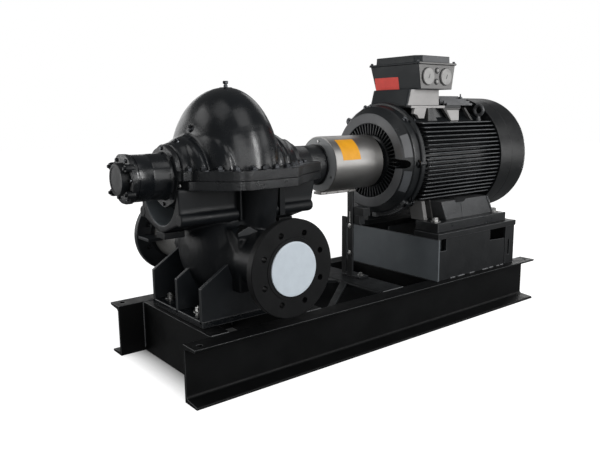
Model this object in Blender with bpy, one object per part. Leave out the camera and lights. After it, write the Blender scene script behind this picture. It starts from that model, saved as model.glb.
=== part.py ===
"""Horizontal split-case pump and electric motor on one steel base frame.

Metres, +Z up. X runs along the shaft, from the pump (-X) to the motor (+X).
The origin is on the floor, under the shaft, halfway along the base frame.
"""
import math

import bmesh
import bpy
from mathutils import Matrix, Vector

# Driving dimensions, in metres
GAP = 0.0003

FRAME_LENGTH = 1.710
FRAME_WIDTH = 0.604
CHANNEL_HEIGHT = 0.180
CHANNEL_FLANGE = 0.070
CHANNEL_WEB = 0.009
CHANNEL_LIP = 0.011
END_INSET = 0.092
FRAME_HOLE = 0.009
FRAME_HOLE_INSET = 0.032

SHAFT_Z = 0.643
SHAFT_RADIUS = 0.030

PUMP_X = -0.540
CASE_DRIVE_LENGTH = 0.152
CASE_OUTBOARD_LENGTH = 0.158
CASE_OUTBOARD_POWER = 0.34
CASE_HEIGHT = 0.269
CASE_NEAR_WIDTH = 0.205
CASE_FAR_WIDTH = 0.236
NECK_REACH = 0.221
NECK_END_RADIUS = 0.098
NECK_ROOT_RADIUS = 0.150
SPLIT_UPPER = 0.026
SPLIT_LOWER = 0.034
ENDS = (("outboard", -1), ("drive", 1))
SIDE_COLUMN_X = (-0.634, -0.572)
SIDE_COLUMN_FACE_Y = -0.200
SIDE_COLUMN_TOP = 0.480

NOZZLE_X = -0.549
NOZZLE_Z = 0.378
NOZZLE_FACES = {"near": -0.362, "far": 0.428}
NOZZLE_FLANGE_RADIUS = 0.150
NOZZLE_FLANGE_THICKNESS = 0.026
NOZZLE_BOLT_CIRCLE = 0.1125
NOZZLE_BOLT_HOLE = 0.0095
NOZZLE_BOLTS = 8
NOZZLE_NECK_RADIUS = 0.088
COVER_RADIUS = 0.083
COVER_THICKNESS = 0.004

FOOT_HALF_LENGTH = 0.208
FOOT_PLATE = 0.024
FOOT_NEAR_Y = -0.160
FOOT_FAR_Y = 0.185
WEB_PLATE = 0.014

BRACKET_END = 0.255
SPLIT_END = 0.245
BRACKET_BAR_Y = 0.122
BRACKET_BAR_Z = 0.518
BRACKET_BAR_RADIUS = 0.019
BRACKET_KEEL_Z = 0.447
BRACKET_TROUGH_Z = 0.497
BRACKET_WALL = 0.012

HOUSING_RADIUS = 0.072
HOUSING_FLANGE_RADIUS = 0.098
OUTBOARD_COVER_X = -0.895
OUTBOARD_TIP_X = -0.932
DRIVE_COVER_X = -0.163
DRIVE_TIP_X = -0.150

GUARD_RADIUS = 0.103
GUARD_WALL = 0.003
GUARD_START_X = -0.145
GUARD_END_X = 0.094

GUARD_STRIP_X = (-0.150, 0.026)

MIDDLE_BEAM_X = (-0.042, 0.088)

PEDESTAL_X = (0.225, 0.740)
PEDESTAL_HALF_WIDTH = 0.275
PEDESTAL_TOP = 0.346
POST_WIDTH = 0.0635
POST_GAP = 0.0055
SIDE_NOTCHES = ((0.248, 0.297, 0.032), (0.566, 0.296))
RAIL_WIDTH = 0.125
RAIL_THICKNESS = 0.022

MOTOR_FOOT_X = (0.250, 0.690)
MOTOR_FOOT_Y = (0.135, 0.250)
MOTOR_FOOT_TOP = 0.404
FOOT_BLOCK_Y = (0.085, 0.212)
FOOT_BLOCK_TOP = 0.478
MOTOR_FRAME_X = (0.190, 0.6527)
MOTOR_CORE_RADIUS = 0.196
MOTOR_FIN_RADIUS = 0.238
MOTOR_FIN_COUNT = 19
MOTOR_FIN_PITCH = 0.0162
MOTOR_FIN_THICKNESS = 0.0055
FAN_COVER_X = (0.653, 0.857)
FAN_COVER_RADIUS = 0.2455

BOX_X = (0.252, 0.474)
BOX_HALF_WIDTH = 0.130
BOX_Z = (0.920, 1.015)
BOX_TAPER = 0.016
LID_LIP = 0.006
LID_HEIGHT = 0.034
LID_CHAMFER = 0.023
PAD_X = (0.221, 0.529)
PAD_HALF_WIDTH = 0.125
PAD_TOP = 0.856
NECK_X = ((0.218, 0.416), (0.236, 0.414))
PLUG_MIDDLE_X = 0.358
PLUG_SPACING = 0.106
PLUG_Z = 0.969
PLUG_RADIUS = 0.0345

TOP_FIN_X = (0.460, 0.640)
TOP_FIN_STEPS = ((0.0, 0.895), (0.022, 0.894), (0.044, 0.890), (0.066, 0.882), (0.088, 0.874))
TOP_FIN_THICKNESS = 0.006
TOP_PLATE_HALF_WIDTH = 0.106
TOP_PLATE_HIGH = 0.865
EYE_CENTRE = (0.628, -0.142, 0.836)
EYE_RADIUS = 0.0205
EYE_BAR_RADIUS = 0.0075

# Colours seen on the object
BLACK_GLOSS = ((0.012, 0.013, 0.015), 0.28, 0.0)
BLACK_SATIN = ((0.016, 0.017, 0.019), 0.42, 0.0)
BLACK_CAST = ((0.020, 0.022, 0.025), 0.38, 0.0)
BRUSHED = ((0.60, 0.58, 0.55), 0.32, 1.0)
DARK_STEEL = ((0.10, 0.10, 0.11), 0.40, 0.8)
WHITE_DISC = ((0.90, 0.91, 0.92), 0.45, 0.0)
BLACK_PLUG = ((0.03, 0.03, 0.032), 0.50, 0.0)


def clear_scene():
    """Remove whatever the opened file holds."""
    for item in list(bpy.data.objects):
        bpy.data.objects.remove(item, do_unlink=True)


def material(name, look):
    """A Principled material with one colour, roughness and metallic value."""
    colour, roughness, metallic = look
    made = bpy.data.materials.new(name)
    made.use_nodes = True
    shader = made.node_tree.nodes["Principled BSDF"]
    shader.inputs["Base Color"].default_value = (*colour, 1.0)
    shader.inputs["Roughness"].default_value = roughness
    shader.inputs["Metallic"].default_value = metallic
    made.diffuse_color = (*colour, 1.0)
    return made


def finish(name, bm, look, smooth_angle=None):
    """Turn a bmesh into a linked object with its own material."""
    bmesh.ops.recalc_face_normals(bm, faces=bm.faces[:])
    mesh = bpy.data.meshes.new(name)
    bm.to_mesh(mesh)
    bm.free()
    if smooth_angle is not None:
        mesh.shade_smooth()
        mesh.set_sharp_from_angle(angle=math.radians(smooth_angle))
    mesh.materials.append(material(name, look))
    made = bpy.data.objects.new(name, mesh)
    bpy.context.scene.collection.objects.link(made)
    return made


def place(axis, across, along):
    """A point from two coordinates across an axis and one along it."""
    if axis == "X":
        return Vector((along, across[0], across[1]))
    if axis == "Y":
        return Vector((across[0], along, across[1]))
    return Vector((across[0], across[1], along))


def prism(name, outline, axis, low, high, look, smooth_angle=None):
    """Extrude a closed outline along an axis."""
    bm = bmesh.new()
    ring = [bm.verts.new(place(axis, point, low)) for point in outline]
    cap = bm.faces.new(ring)
    grown = bmesh.ops.extrude_face_region(bm, geom=[cap])
    lifted = [item for item in grown["geom"] if isinstance(item, bmesh.types.BMVert)]
    bmesh.ops.translate(bm, verts=lifted, vec=place(axis, (0, 0), high - low))
    return finish(name, bm, look, smooth_angle)


def box(name, x, y, z, look):
    """A block given by its three ranges."""
    outline = [(y[0], z[0]), (y[1], z[0]), (y[1], z[1]), (y[0], z[1])]
    return prism(name, outline, "X", x[0], x[1], look)


def turned(name, profile, axis, centre, look, steps=48, ring=False, smooth_angle=35):
    """Spin a profile of (along, radius) points about an axis through centre."""
    bm = bmesh.new()
    across = {"X": (0, 1), "Y": (0, 1), "Z": (1, 0)}[axis]
    points = []
    for along, radius in profile:
        offset = place(axis, (across[0] * radius, across[1] * radius), along)
        points.append(bm.verts.new(Vector(centre) + offset))
    edges = [bm.edges.new(pair) for pair in zip(points, points[1:])]
    if ring:
        edges.append(bm.edges.new((points[-1], points[0])))
    bmesh.ops.spin(bm, geom=points + edges, cent=centre, axis=place(axis, (0, 0), 1.0),
                   angle=math.tau, steps=steps, use_merge=True)
    bmesh.ops.remove_doubles(bm, verts=bm.verts[:], dist=0.00002)
    return finish(name, bm, look, smooth_angle)


def loft(name, rings, look, smooth_angle=50):
    """Skin closed rings with equal point counts and cap both ends."""
    bm = bmesh.new()
    loops = [[bm.verts.new(point) for point in ring] for ring in rings]
    for near, far in zip(loops, loops[1:]):
        for i in range(len(near)):
            j = (i + 1) % len(near)
            bm.faces.new((near[i], near[j], far[j], far[i]))
    bm.faces.new(loops[0])
    bm.faces.new(loops[-1])
    return finish(name, bm, look, smooth_angle)


def use_as_tool(item):
    """Mark an object as a construction shape that isn't a piece."""
    item.hide_render = True
    item.display_type = "WIRE"


def join_shapes(target, shapes, how="UNION"):
    """Union or cut shapes into target with exact Boolean modifiers."""
    for shape in shapes:
        step = target.modifiers.new(how.lower(), "BOOLEAN")
        step.operation = how
        step.solver = "EXACT"
        step.object = shape
        use_as_tool(shape)


def arc(centre, radius, start, stop, count):
    """Points on a circular arc, angles in degrees."""
    points = []
    for i in range(count + 1):
        turn = math.radians(start + (stop - start) * i / count)
        points.append((centre[0] + radius * math.cos(turn),
                       centre[1] + radius * math.sin(turn)))
    return points


def mirrored(outline):
    """The outline with its first coordinate flipped."""
    return [(-across, up) for across, up in reversed(outline)]


def hole_tool(name, axis, spots, radius, low, high):
    """One cutter made of a round rod at each spot."""
    bm = bmesh.new()
    turn = {"X": Matrix.Rotation(math.pi / 2, 4, "Y"),
            "Y": Matrix.Rotation(math.pi / 2, 4, "X"),
            "Z": Matrix.Identity(4)}[axis]
    for spot in spots:
        middle = place(axis, spot, (low + high) / 2)
        bmesh.ops.create_cone(bm, cap_ends=True, segments=12, radius1=radius,
                              radius2=radius, depth=high - low,
                              matrix=Matrix.Translation(middle) @ turn)
    return finish(name, bm, BLACK_SATIN)


def channel_outline(web_face, tip, low, high):
    """C section: web face and flange tip across, low and high edges up."""
    side = 1 if tip > web_face else -1
    inner = web_face + side * CHANNEL_WEB
    return [(web_face, low), (tip, low), (tip, low + CHANNEL_LIP),
            (inner, low + CHANNEL_LIP), (inner, high - CHANNEL_LIP),
            (tip, high - CHANNEL_LIP), (tip, high), (web_face, high)]


def base_frame():
    """Two long channels, flanges outward, with members across between them."""
    half = FRAME_LENGTH / 2
    web_face = FRAME_WIDTH / 2 - CHANNEL_FLANGE
    hole_y = FRAME_WIDTH / 2 - CHANNEL_FLANGE * 0.42
    for name, side in (("near_beam", -1), ("far_beam", 1)):
        outline = channel_outline(side * web_face, side * FRAME_WIDTH / 2, 0, CHANNEL_HEIGHT)
        beam = prism(name, outline, "X", -half, half, BLACK_SATIN)
        spots = [(end * (half - FRAME_HOLE_INSET), side * hole_y) for end in (-1, 1)]
        drill = hole_tool(name + "_drill", "Z", spots, FRAME_HOLE, CHANNEL_HEIGHT - 0.03,
                          CHANNEL_HEIGHT + 0.01)
        join_shapes(beam, [drill], "DIFFERENCE")

    reach = web_face - GAP
    starts = {"left_cross_channel": -half + END_INSET, "pump_cross_channel": PUMP_X + 0.142,
              "motor_front_channel": 0.227, "motor_rear_channel": 0.655}
    for name, start in starts.items():
        outline = channel_outline(start, start + CHANNEL_FLANGE, 0, CHANNEL_HEIGHT)
        prism(name, outline, "Y", -reach, reach, BLACK_SATIN)

    low, high = MIDDLE_BEAM_X
    wall = CHANNEL_WEB
    tube = box("middle_cross_beam", (low, high), (-reach, reach), (0, CHANNEL_HEIGHT), BLACK_SATIN)
    bore = box("middle_beam_bore", (low + wall, high - wall), (-reach - 0.01, reach + 0.01),
               (wall, CHANNEL_HEIGHT - wall), BLACK_SATIN)
    join_shapes(tube, [bore], "DIFFERENCE")

    for name, side in (("near_brace", -1), ("far_brace", 1)):
        diagonal_brace(name, side, web_face)


def diagonal_brace(name, side, web_face):
    """Flat bar from a long beam to the middle of the middle cross beam."""
    end_x = MIDDLE_BEAM_X[0] - GAP
    start_x = end_x - 0.262
    width = 0.034
    outer = side * (web_face - GAP)
    outline = [(start_x, outer), (start_x + width, outer),
               (end_x, side * (0.012 + width)), (end_x, side * 0.012)]
    prism(name, outline, "Z", CHANNEL_HEIGHT - 0.014, CHANNEL_HEIGHT - 0.002, BLACK_SATIN)


def case_size(offset):
    """Near half width, far half width and height of the pump case at a distance from its middle."""
    reach = abs(offset)
    length, power = (CASE_OUTBOARD_LENGTH, CASE_OUTBOARD_POWER) if offset < 0 else (CASE_DRIVE_LENGTH, 0.5)
    bowl = max(0.0, 1 - (reach / length) ** 2) ** power
    part_way = min(1.0, max(0.0, (NECK_REACH - reach) / (NECK_REACH - 0.112)))
    neck = NECK_END_RADIUS + (NECK_ROOT_RADIUS - NECK_END_RADIUS) * part_way ** 0.8
    neck = neck if reach < NECK_REACH else NECK_END_RADIUS
    near, far = (max(width * bowl, neck * 0.98) for width in (CASE_NEAR_WIDTH, CASE_FAR_WIDTH))
    return near, far, max(CASE_HEIGHT * bowl, neck)


def upper_casing():
    """Domed top half with its split flange and small bosses."""
    base = SHAFT_Z + GAP + 0.004
    stations = [-NECK_REACH, -0.200, -0.180, -0.156, -0.146, -0.135]
    stations += [-0.120, -0.108, -0.094, -0.078, -0.060, -0.041, -0.021]
    stations = stations + [0.0] + [-spot for spot in reversed(stations)]
    rings = []
    for offset in stations:
        near, far, height = case_size(offset)
        ring = []
        for step in range(19):
            turn = math.pi * step / 18
            width = far if step < 9 else near
            ring.append(Vector((PUMP_X + offset, width * math.cos(turn),
                                base + (height - 0.004) * math.sin(turn))))
        rings.append(ring)
    case = loft("upper_casing", rings, BLACK_CAST)
    plate = split_plate("upper_split_plate", SHAFT_Z + GAP, SHAFT_Z + SPLIT_UPPER)
    crown = SHAFT_Z + CASE_HEIGHT
    boss = turned("vent_boss", [(crown - 0.02, 0), (crown - 0.02, 0.020), (crown + 0.005, 0.020),
                                (crown + 0.005, 0)], "Z", (PUMP_X, 0, 0), BLACK_CAST, 20)
    join_shapes(case, [plate, boss])
    turned("vent_plug", [(crown + 0.005 + GAP, 0), (crown + 0.005 + GAP, 0.008),
                         (crown + 0.014, 0.008), (crown + 0.014, 0.0105),
                         (crown + 0.026, 0.0105), (crown + 0.026, 0)],
           "Z", (PUMP_X, 0, 0), BRUSHED, 12)


def split_outline():
    """Plan of the split flange: eight-sided with rounded near corners."""
    end = SPLIT_END
    corner_x = 0.100
    side_y = 0.265
    end_y = 0.132
    quarter = [(end, -end_y * 0.2), (end, -end_y)]
    quarter += [(end - 0.030, -end_y - 0.020), (corner_x + 0.018, -side_y + 0.012)]
    quarter += [(corner_x, -side_y)]
    half = quarter + [(-x, y) for x, y in reversed(quarter)]
    return [(PUMP_X + x, y) for x, y in half + [(-x, -y) for x, y in half]]


def split_plate(name, low, high):
    """One half of the split flange, cut back around the bearing housings."""
    plate = prism(name, split_outline(), "Z", low, high, BLACK_CAST)
    notches = []
    for word, side in ENDS:
        reach = sorted((PUMP_X + side * NECK_REACH, PUMP_X + side * 0.4))
        notches.append(box(f"{name}_{word}_notch", reach, (-0.100, 0.100),
                           (SHAFT_Z - 0.1, SHAFT_Z + 0.1), BLACK_CAST))
    join_shapes(plate, notches, "DIFFERENCE")
    return plate


def side_column():
    """Upright pad beside the near nozzle, with a sloping top."""
    outline = [(-0.100, NOZZLE_Z - 0.100), (SIDE_COLUMN_FACE_Y, NOZZLE_Z - 0.100),
               (SIDE_COLUMN_FACE_Y, SIDE_COLUMN_TOP - 0.028),
               (SIDE_COLUMN_FACE_Y + 0.035, SIDE_COLUMN_TOP), (-0.100, SIDE_COLUMN_TOP)]
    return prism("side_column", outline, "X", SIDE_COLUMN_X[0], SIDE_COLUMN_X[1], BLACK_CAST)


def superellipse(centre, half_length, half_width, level, power, count=24):
    """A level ring of points, squarer as the power falls below one."""
    ring = []
    for step in range(count):
        turn = math.tau * (step + 0.5) / count
        across = math.copysign(abs(math.cos(turn)) ** power, math.cos(turn))
        along = math.copysign(abs(math.sin(turn)) ** power, math.sin(turn))
        ring.append(Vector((centre + half_length * across, half_width * along, level)))
    return ring


def lower_column():
    """Narrow upright body under the split flange, from side to side."""
    levels = [(SHAFT_Z - 0.010, 0.100, 0.214), (0.590, 0.098, 0.209), (0.540, 0.098, 0.202),
              (0.480, 0.100, 0.192), (0.420, 0.104, 0.180), (0.340, 0.104, 0.160)]
    rings = [superellipse(PUMP_X, half_length, half_width, level, 0.86)
             for level, half_length, half_width in levels]
    return loft("lower_casing", rings, BLACK_CAST)


def lower_belly():
    """Rounded chamber below the shaft, between the nozzles and the feet."""
    middle = 0.395
    reach = (0.163, 0.172, 0.185)
    rings = []
    for step in range(1, 9):
        turn = math.pi * step / 9
        size = math.sin(turn) ** 0.85
        level = middle + reach[2] * math.cos(turn)
        rings.append(superellipse(PUMP_X, reach[0] * size, reach[1] * size, level, 0.92))
    return loft("lower_belly", rings, BLACK_CAST)


def nozzle(name, side, face_y):
    """Flanged nozzle facing sideways, flaring into the body."""
    face = abs(face_y)
    back = face - NOZZLE_FLANGE_THICKNESS
    profile = [(0.040, 0), (0.040, 0.128), (0.120, 0.118), (0.152, 0.100),
               (0.172, NOZZLE_NECK_RADIUS), (back - 0.018, NOZZLE_NECK_RADIUS),
               (back, NOZZLE_NECK_RADIUS + 0.014), (back, NOZZLE_FLANGE_RADIUS),
               (face, NOZZLE_FLANGE_RADIUS), (face, 0.0945), (face + 0.002, 0.0935),
               (face + 0.002, 0)]
    profile = [(side * along, radius) for along, radius in profile]
    return turned(name, profile, "Y", (NOZZLE_X, 0, NOZZLE_Z), BLACK_CAST, 40)


def flange_spots():
    """Bolt hole centres of a nozzle flange, straddling the vertical."""
    spots = []
    for index in range(NOZZLE_BOLTS):
        turn = math.tau * (index + 0.5) / NOZZLE_BOLTS
        spots.append((NOZZLE_X + NOZZLE_BOLT_CIRCLE * math.cos(turn),
                      NOZZLE_Z + NOZZLE_BOLT_CIRCLE * math.sin(turn)))
    return spots


def flange_cover(name, side, face_y):
    """Thin disc that closes a nozzle."""
    start = abs(face_y) + 0.002 + GAP
    end = start + COVER_THICKNESS
    profile = [(start, 0), (start, COVER_RADIUS), (end - 0.001, COVER_RADIUS),
               (end, COVER_RADIUS - 0.001), (end, 0)]
    profile = [(side * along, radius) for along, radius in profile]
    turned(name, profile, "Y", (NOZZLE_X, 0, NOZZLE_Z), WHITE_DISC, 48)


def foot_web_outline():
    """Side view of a cross web: feet at both ends, sloping up to the body."""
    floor = CHANNEL_HEIGHT + GAP + FOOT_PLATE * 0.5
    right = [(FOOT_HALF_LENGTH, floor), (FOOT_HALF_LENGTH, 0.306), (0.080, 0.388),
             (0.060, 0.415)]
    return [(PUMP_X + x, z) for x, z in right + [(-x, z) for x, z in reversed(right)]]


def bracket_outline():
    """End view of a bearing bracket: straight walls, a bar along each lower edge, a keel."""
    top = SHAFT_Z - SPLIT_LOWER + 0.004
    outer = [(BRACKET_BAR_Y + 0.006, top)]
    outer += arc((BRACKET_BAR_Y, BRACKET_BAR_Z), BRACKET_BAR_RADIUS, 60, -100, 8)
    outer += [(0.020, BRACKET_KEEL_Z + 0.004), (0.014, BRACKET_KEEL_Z)]
    return outer + mirrored(outer)


def bracket_hollow():
    """End view of the trough inside a bearing bracket, open above."""
    width = BRACKET_BAR_Y - BRACKET_WALL
    level = SHAFT_Z - SPLIT_LOWER + 0.002
    depth = level - BRACKET_TROUGH_Z
    turns = [math.radians(degrees) for degrees in range(180, 361, 15)]
    sweep = [(width * math.cos(turn), level + depth * math.sin(turn)) for turn in turns]
    return sweep + [(width, SHAFT_Z + 0.01), (-width, SHAFT_Z + 0.01)]


def bearing_brackets():
    """Both brackets as solid shapes, and the troughs cut into their ends."""
    solids = []
    hollows = []
    for word, side in ENDS:
        low, high = sorted((PUMP_X + side * 0.050, PUMP_X + side * BRACKET_END))
        solids.append(prism(f"{word}_bracket", bracket_outline(), "X", low, high, BLACK_CAST))
        low, high = sorted((PUMP_X + side * 0.165, PUMP_X + side * (BRACKET_END + 0.01)))
        hollows.append(prism(f"{word}_hollow", bracket_hollow(), "X", low, high, BLACK_CAST))
    return solids, hollows


def bearing_saddles():
    """Half rings under the shaft that the bearing housings bolt against."""
    saddles = []
    for word, side in ENDS:
        low, high = sorted((PUMP_X + side * 0.160, PUMP_X + side * NECK_REACH))
        ring = arc((0, SHAFT_Z - GAP), NECK_END_RADIUS, 180, 360, 12)
        saddles.append(prism(f"{word}_saddle", ring, "X", low, high, BLACK_CAST))
    return saddles


def lower_casing():
    """Body, nozzles, feet, brackets and lower split flange as the one casting they are."""
    case = lower_column()
    solids, hollows = bearing_brackets()
    join_shapes(case, [lower_belly(), *solids])
    join_shapes(case, hollows, "DIFFERENCE")
    plate = split_plate("lower_split_plate", SHAFT_Z - SPLIT_LOWER, SHAFT_Z - GAP)
    nozzles = [nozzle(f"{word}_nozzle", math.copysign(1, face), face)
               for word, face in NOZZLE_FACES.items()]
    webs = []
    for index, middle in enumerate((FOOT_NEAR_Y + 0.010, 0.006, FOOT_FAR_Y - 0.012)):
        webs.append(prism(f"foot_web_{index}", foot_web_outline(), "Y", middle - WEB_PLATE / 2,
                          middle + WEB_PLATE / 2, BLACK_CAST))
    sole = CHANNEL_HEIGHT + GAP
    feet = box("foot_plate", (PUMP_X - FOOT_HALF_LENGTH, PUMP_X + FOOT_HALF_LENGTH),
               (FOOT_NEAR_Y, FOOT_FAR_Y), (sole, sole + FOOT_PLATE), BLACK_CAST)
    join_shapes(case, [plate, *bearing_saddles(), *nozzles, *webs, feet, side_column()])
    drills = []
    for word, face in NOZZLE_FACES.items():
        side = math.copysign(1, face)
        low, high = sorted((face - side * (NOZZLE_FLANGE_THICKNESS + 0.004), face + side * 0.01))
        drills.append(hole_tool(f"{word}_drill", "Y", flange_spots(), NOZZLE_BOLT_HOLE, low, high))
    join_shapes(case, drills, "DIFFERENCE")
    for word, face in NOZZLE_FACES.items():
        flange_cover(f"{word}_flange_cover", math.copysign(1, face), face)


def bearing_housing(name, cover_name, side, cover_x, tip_x):
    """Round housing with its mounting flange, and the end cover on it."""
    start = PUMP_X + side * (NECK_REACH + GAP)
    end = start + side * 0.018
    profile = [(start, 0.034), (start, HOUSING_FLANGE_RADIUS), (end, HOUSING_FLANGE_RADIUS),
               (end + side * 0.004, HOUSING_RADIUS + 0.004), (end + side * 0.012, HOUSING_RADIUS),
               (cover_x, HOUSING_RADIUS - 0.003), (cover_x, 0.034)]
    turned(name, profile, "X", (0, 0, SHAFT_Z), BLACK_CAST, 48, ring=True)
    reach = abs(tip_x - cover_x)
    start = cover_x + side * GAP
    rim = [(start, 0), (start, HOUSING_RADIUS + 0.004),
           (start + side * reach * 0.35, HOUSING_RADIUS + 0.003),
           (start + side * reach * 0.42, 0.052), (tip_x - side * 0.003, 0.050),
           (tip_x, 0.046), (tip_x, 0)]
    turned(cover_name, rim, "X", (0, 0, SHAFT_Z), BLACK_CAST, 40)


def pump():
    """All the pieces of the pump."""
    upper_casing()
    lower_casing()
    bearing_housing("outboard_bearing_housing", "outboard_bearing_cover", -1,
                    OUTBOARD_COVER_X, OUTBOARD_TIP_X)
    bearing_housing("drive_end_bearing_housing", "drive_end_bearing_cover", 1,
                    DRIVE_COVER_X, DRIVE_TIP_X)


def coupling_and_guard():
    """Shaft coupling inside a round sheet guard, and what holds the guard."""
    start = DRIVE_TIP_X + GAP
    end = 0.1165
    hub = 0.072
    profile = [(start, 0), (start, SHAFT_RADIUS), (-0.120, SHAFT_RADIUS), (-0.120, hub * 0.8),
               (-0.060, hub * 0.8), (-0.060, hub), (0.010, hub), (0.010, hub * 0.8),
               (0.070, hub * 0.8), (0.070, SHAFT_RADIUS), (end, SHAFT_RADIUS), (end, 0)]
    turned("shaft_coupling", profile, "X", (0, 0, SHAFT_Z), DARK_STEEL, 32)
    outer = GUARD_RADIUS
    inner = GUARD_RADIUS - GUARD_WALL
    turned("coupling_guard", [(GUARD_START_X, inner), (GUARD_START_X, outer), (GUARD_END_X, outer),
                              (GUARD_END_X, inner)], "X", (0, 0, SHAFT_Z), BRUSHED, 48, ring=True)
    rim = inner - GAP
    bore = SHAFT_RADIUS + 0.004
    for name, low in (("guard_pump_plate", GUARD_START_X + 0.001),
                      ("guard_motor_plate", GUARD_END_X - 0.004)):
        turned(name, [(low, bore), (low, rim), (low + 0.003, rim), (low + 0.003, bore)],
               "X", (0, 0, SHAFT_Z), BRUSHED, 48, ring=True)
    guard_low = SHAFT_Z - GUARD_RADIUS
    box("guard_strip", GUARD_STRIP_X, (-0.022, 0.022), (guard_low - 0.010, guard_low - GAP), BRUSHED)
    guard_upright(GUARD_STRIP_X[1] + GAP, CHANNEL_HEIGHT + GAP, guard_low - GAP)


def guard_upright(front, sole, top):
    """Narrow post with a shorter one beside it, a foot and a stepped block."""
    upright = box("guard_upright", (front, front + 0.008), (-0.004, 0.0265), (sole, top), BLACK_SATIN)
    steps = {"upright_twin": ((0.002, 0.008), (0.0364, 0.0609), (sole, 0.4225)),
             "upright_foot": ((0.001, 0.050), (-0.046, 0.0609), (sole, sole + 0.008)),
             "upright_block": ((0.004, 0.038), (-0.0635, -0.002), (0.434, 0.466)),
             "upright_step": ((0.006, 0.034), (-0.039, 0.004), (0.398, 0.436))}
    shapes = [box(name, (front + x[0], front + x[1]), y, z, BLACK_SATIN)
              for name, (x, y, z) in steps.items()]
    join_shapes(upright, shapes)


def fin_outline():
    """End view of the motor frame: a round core with level fins on both sides."""
    middle = (MOTOR_FIN_COUNT - 1) / 2
    half = MOTOR_FIN_THICKNESS / 2
    side = []
    for index in range(MOTOR_FIN_COUNT):
        level = (index - middle) * MOTOR_FIN_PITCH
        root = math.sqrt(MOTOR_CORE_RADIUS ** 2 - level ** 2)
        tip = math.sqrt(MOTOR_FIN_RADIUS ** 2 - level ** 2)
        side += [(root - 0.003, level - half), (tip, level - half * 0.7),
                 (tip, level + half * 0.7), (root - 0.003, level + half)]
    start = math.degrees(math.asin((middle + 0.6) * MOTOR_FIN_PITCH / MOTOR_CORE_RADIUS))
    crown = arc((0, 0), MOTOR_CORE_RADIUS, start, 180 - start, 14)
    left = [(-across, -up) for across, up in side]
    keel = [(-across, -up) for across, up in crown]
    loop = side + crown + left + keel
    return [(across, SHAFT_Z + up) for across, up in loop]


def motor():
    """Finned frame, end shield, fan cover, feet, terminal box and eye."""
    prism("motor_frame", fin_outline(), "X", MOTOR_FRAME_X[0], MOTOR_FRAME_X[1], BLACK_GLOSS)
    back = MOTOR_FRAME_X[0] - GAP
    shield = [(0.150, 0.042), (0.150, 0.108), (0.128, 0.112), (0.115, 0.142), (0.113, 0.150),
              (0.113, 0.184), (0.117, 0.188), (0.148, 0.208), (0.152, 0.213), (0.178, 0.217),
              (0.180, 0.226), (back, 0.228), (back, 0.042)]
    turned("drive_end_shield", shield, "X", (0, 0, SHAFT_Z), BLACK_GLOSS, 48, ring=True)
    boss = [(0.117, 0.034), (0.117, 0.100), (0.124, 0.105), (0.150 - GAP, 0.105), (0.150 - GAP, 0.034)]
    turned("shield_bearing_cap", boss, "X", (0, 0, SHAFT_Z), BLACK_GLOSS, 40, ring=True)
    front, rear = FAN_COVER_X
    radius = FAN_COVER_RADIUS
    cover = [(front, 0), (front, radius), (rear - 0.040, radius), (rear - 0.012, radius - 0.010),
             (rear, radius - 0.034), (rear, 0.140), (rear - 0.004, 0.136), (rear - 0.004, 0)]
    turned("fan_cover", cover, "X", (0, 0, SHAFT_Z), BLACK_GLOSS, 56)
    motor_feet()
    terminal_box()
    lifting_gear()


def motor_feet():
    """A long pad and a trapezoid box on each side, down on the rails."""
    sole = PEDESTAL_TOP + RAIL_THICKNESS + 2 * GAP
    low_x, high_x = MOTOR_FOOT_X
    inner, outer = MOTOR_FOOT_Y
    for name, side in (("near_motor_foot", -1), ("far_motor_foot", 1)):
        near, far = sorted((side * inner, side * outer))
        foot = box(name, (low_x, high_x), (near, far), (sole, MOTOR_FOOT_TOP), BLACK_GLOSS)
        rise = MOTOR_FOOT_TOP - 0.004
        block = [(low_x + 0.094, rise), (high_x - 0.030, rise), (high_x - 0.074, FOOT_BLOCK_TOP),
                 (low_x + 0.070, FOOT_BLOCK_TOP)]
        low, high = sorted((side * FOOT_BLOCK_Y[0], side * FOOT_BLOCK_Y[1]))
        cheek = prism(name + "_block", block, "Y", low, high, BLACK_GLOSS)
        ribs = []
        for index, spot in enumerate((low_x + 0.022, low_x + 0.060)):
            ribs.append(box(f"{name}_rib_{index}", (spot - 0.012, spot + 0.012), (low, high),
                            (rise, FOOT_BLOCK_TOP - 0.002), BLACK_GLOSS))
        join_shapes(foot, [cheek, *ribs])
        keep_out = prism(name + "_clearance", clearance_outline(), "X", 0.1, 0.9, BLACK_GLOSS)
        join_shapes(foot, [keep_out], "DIFFERENCE")


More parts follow.
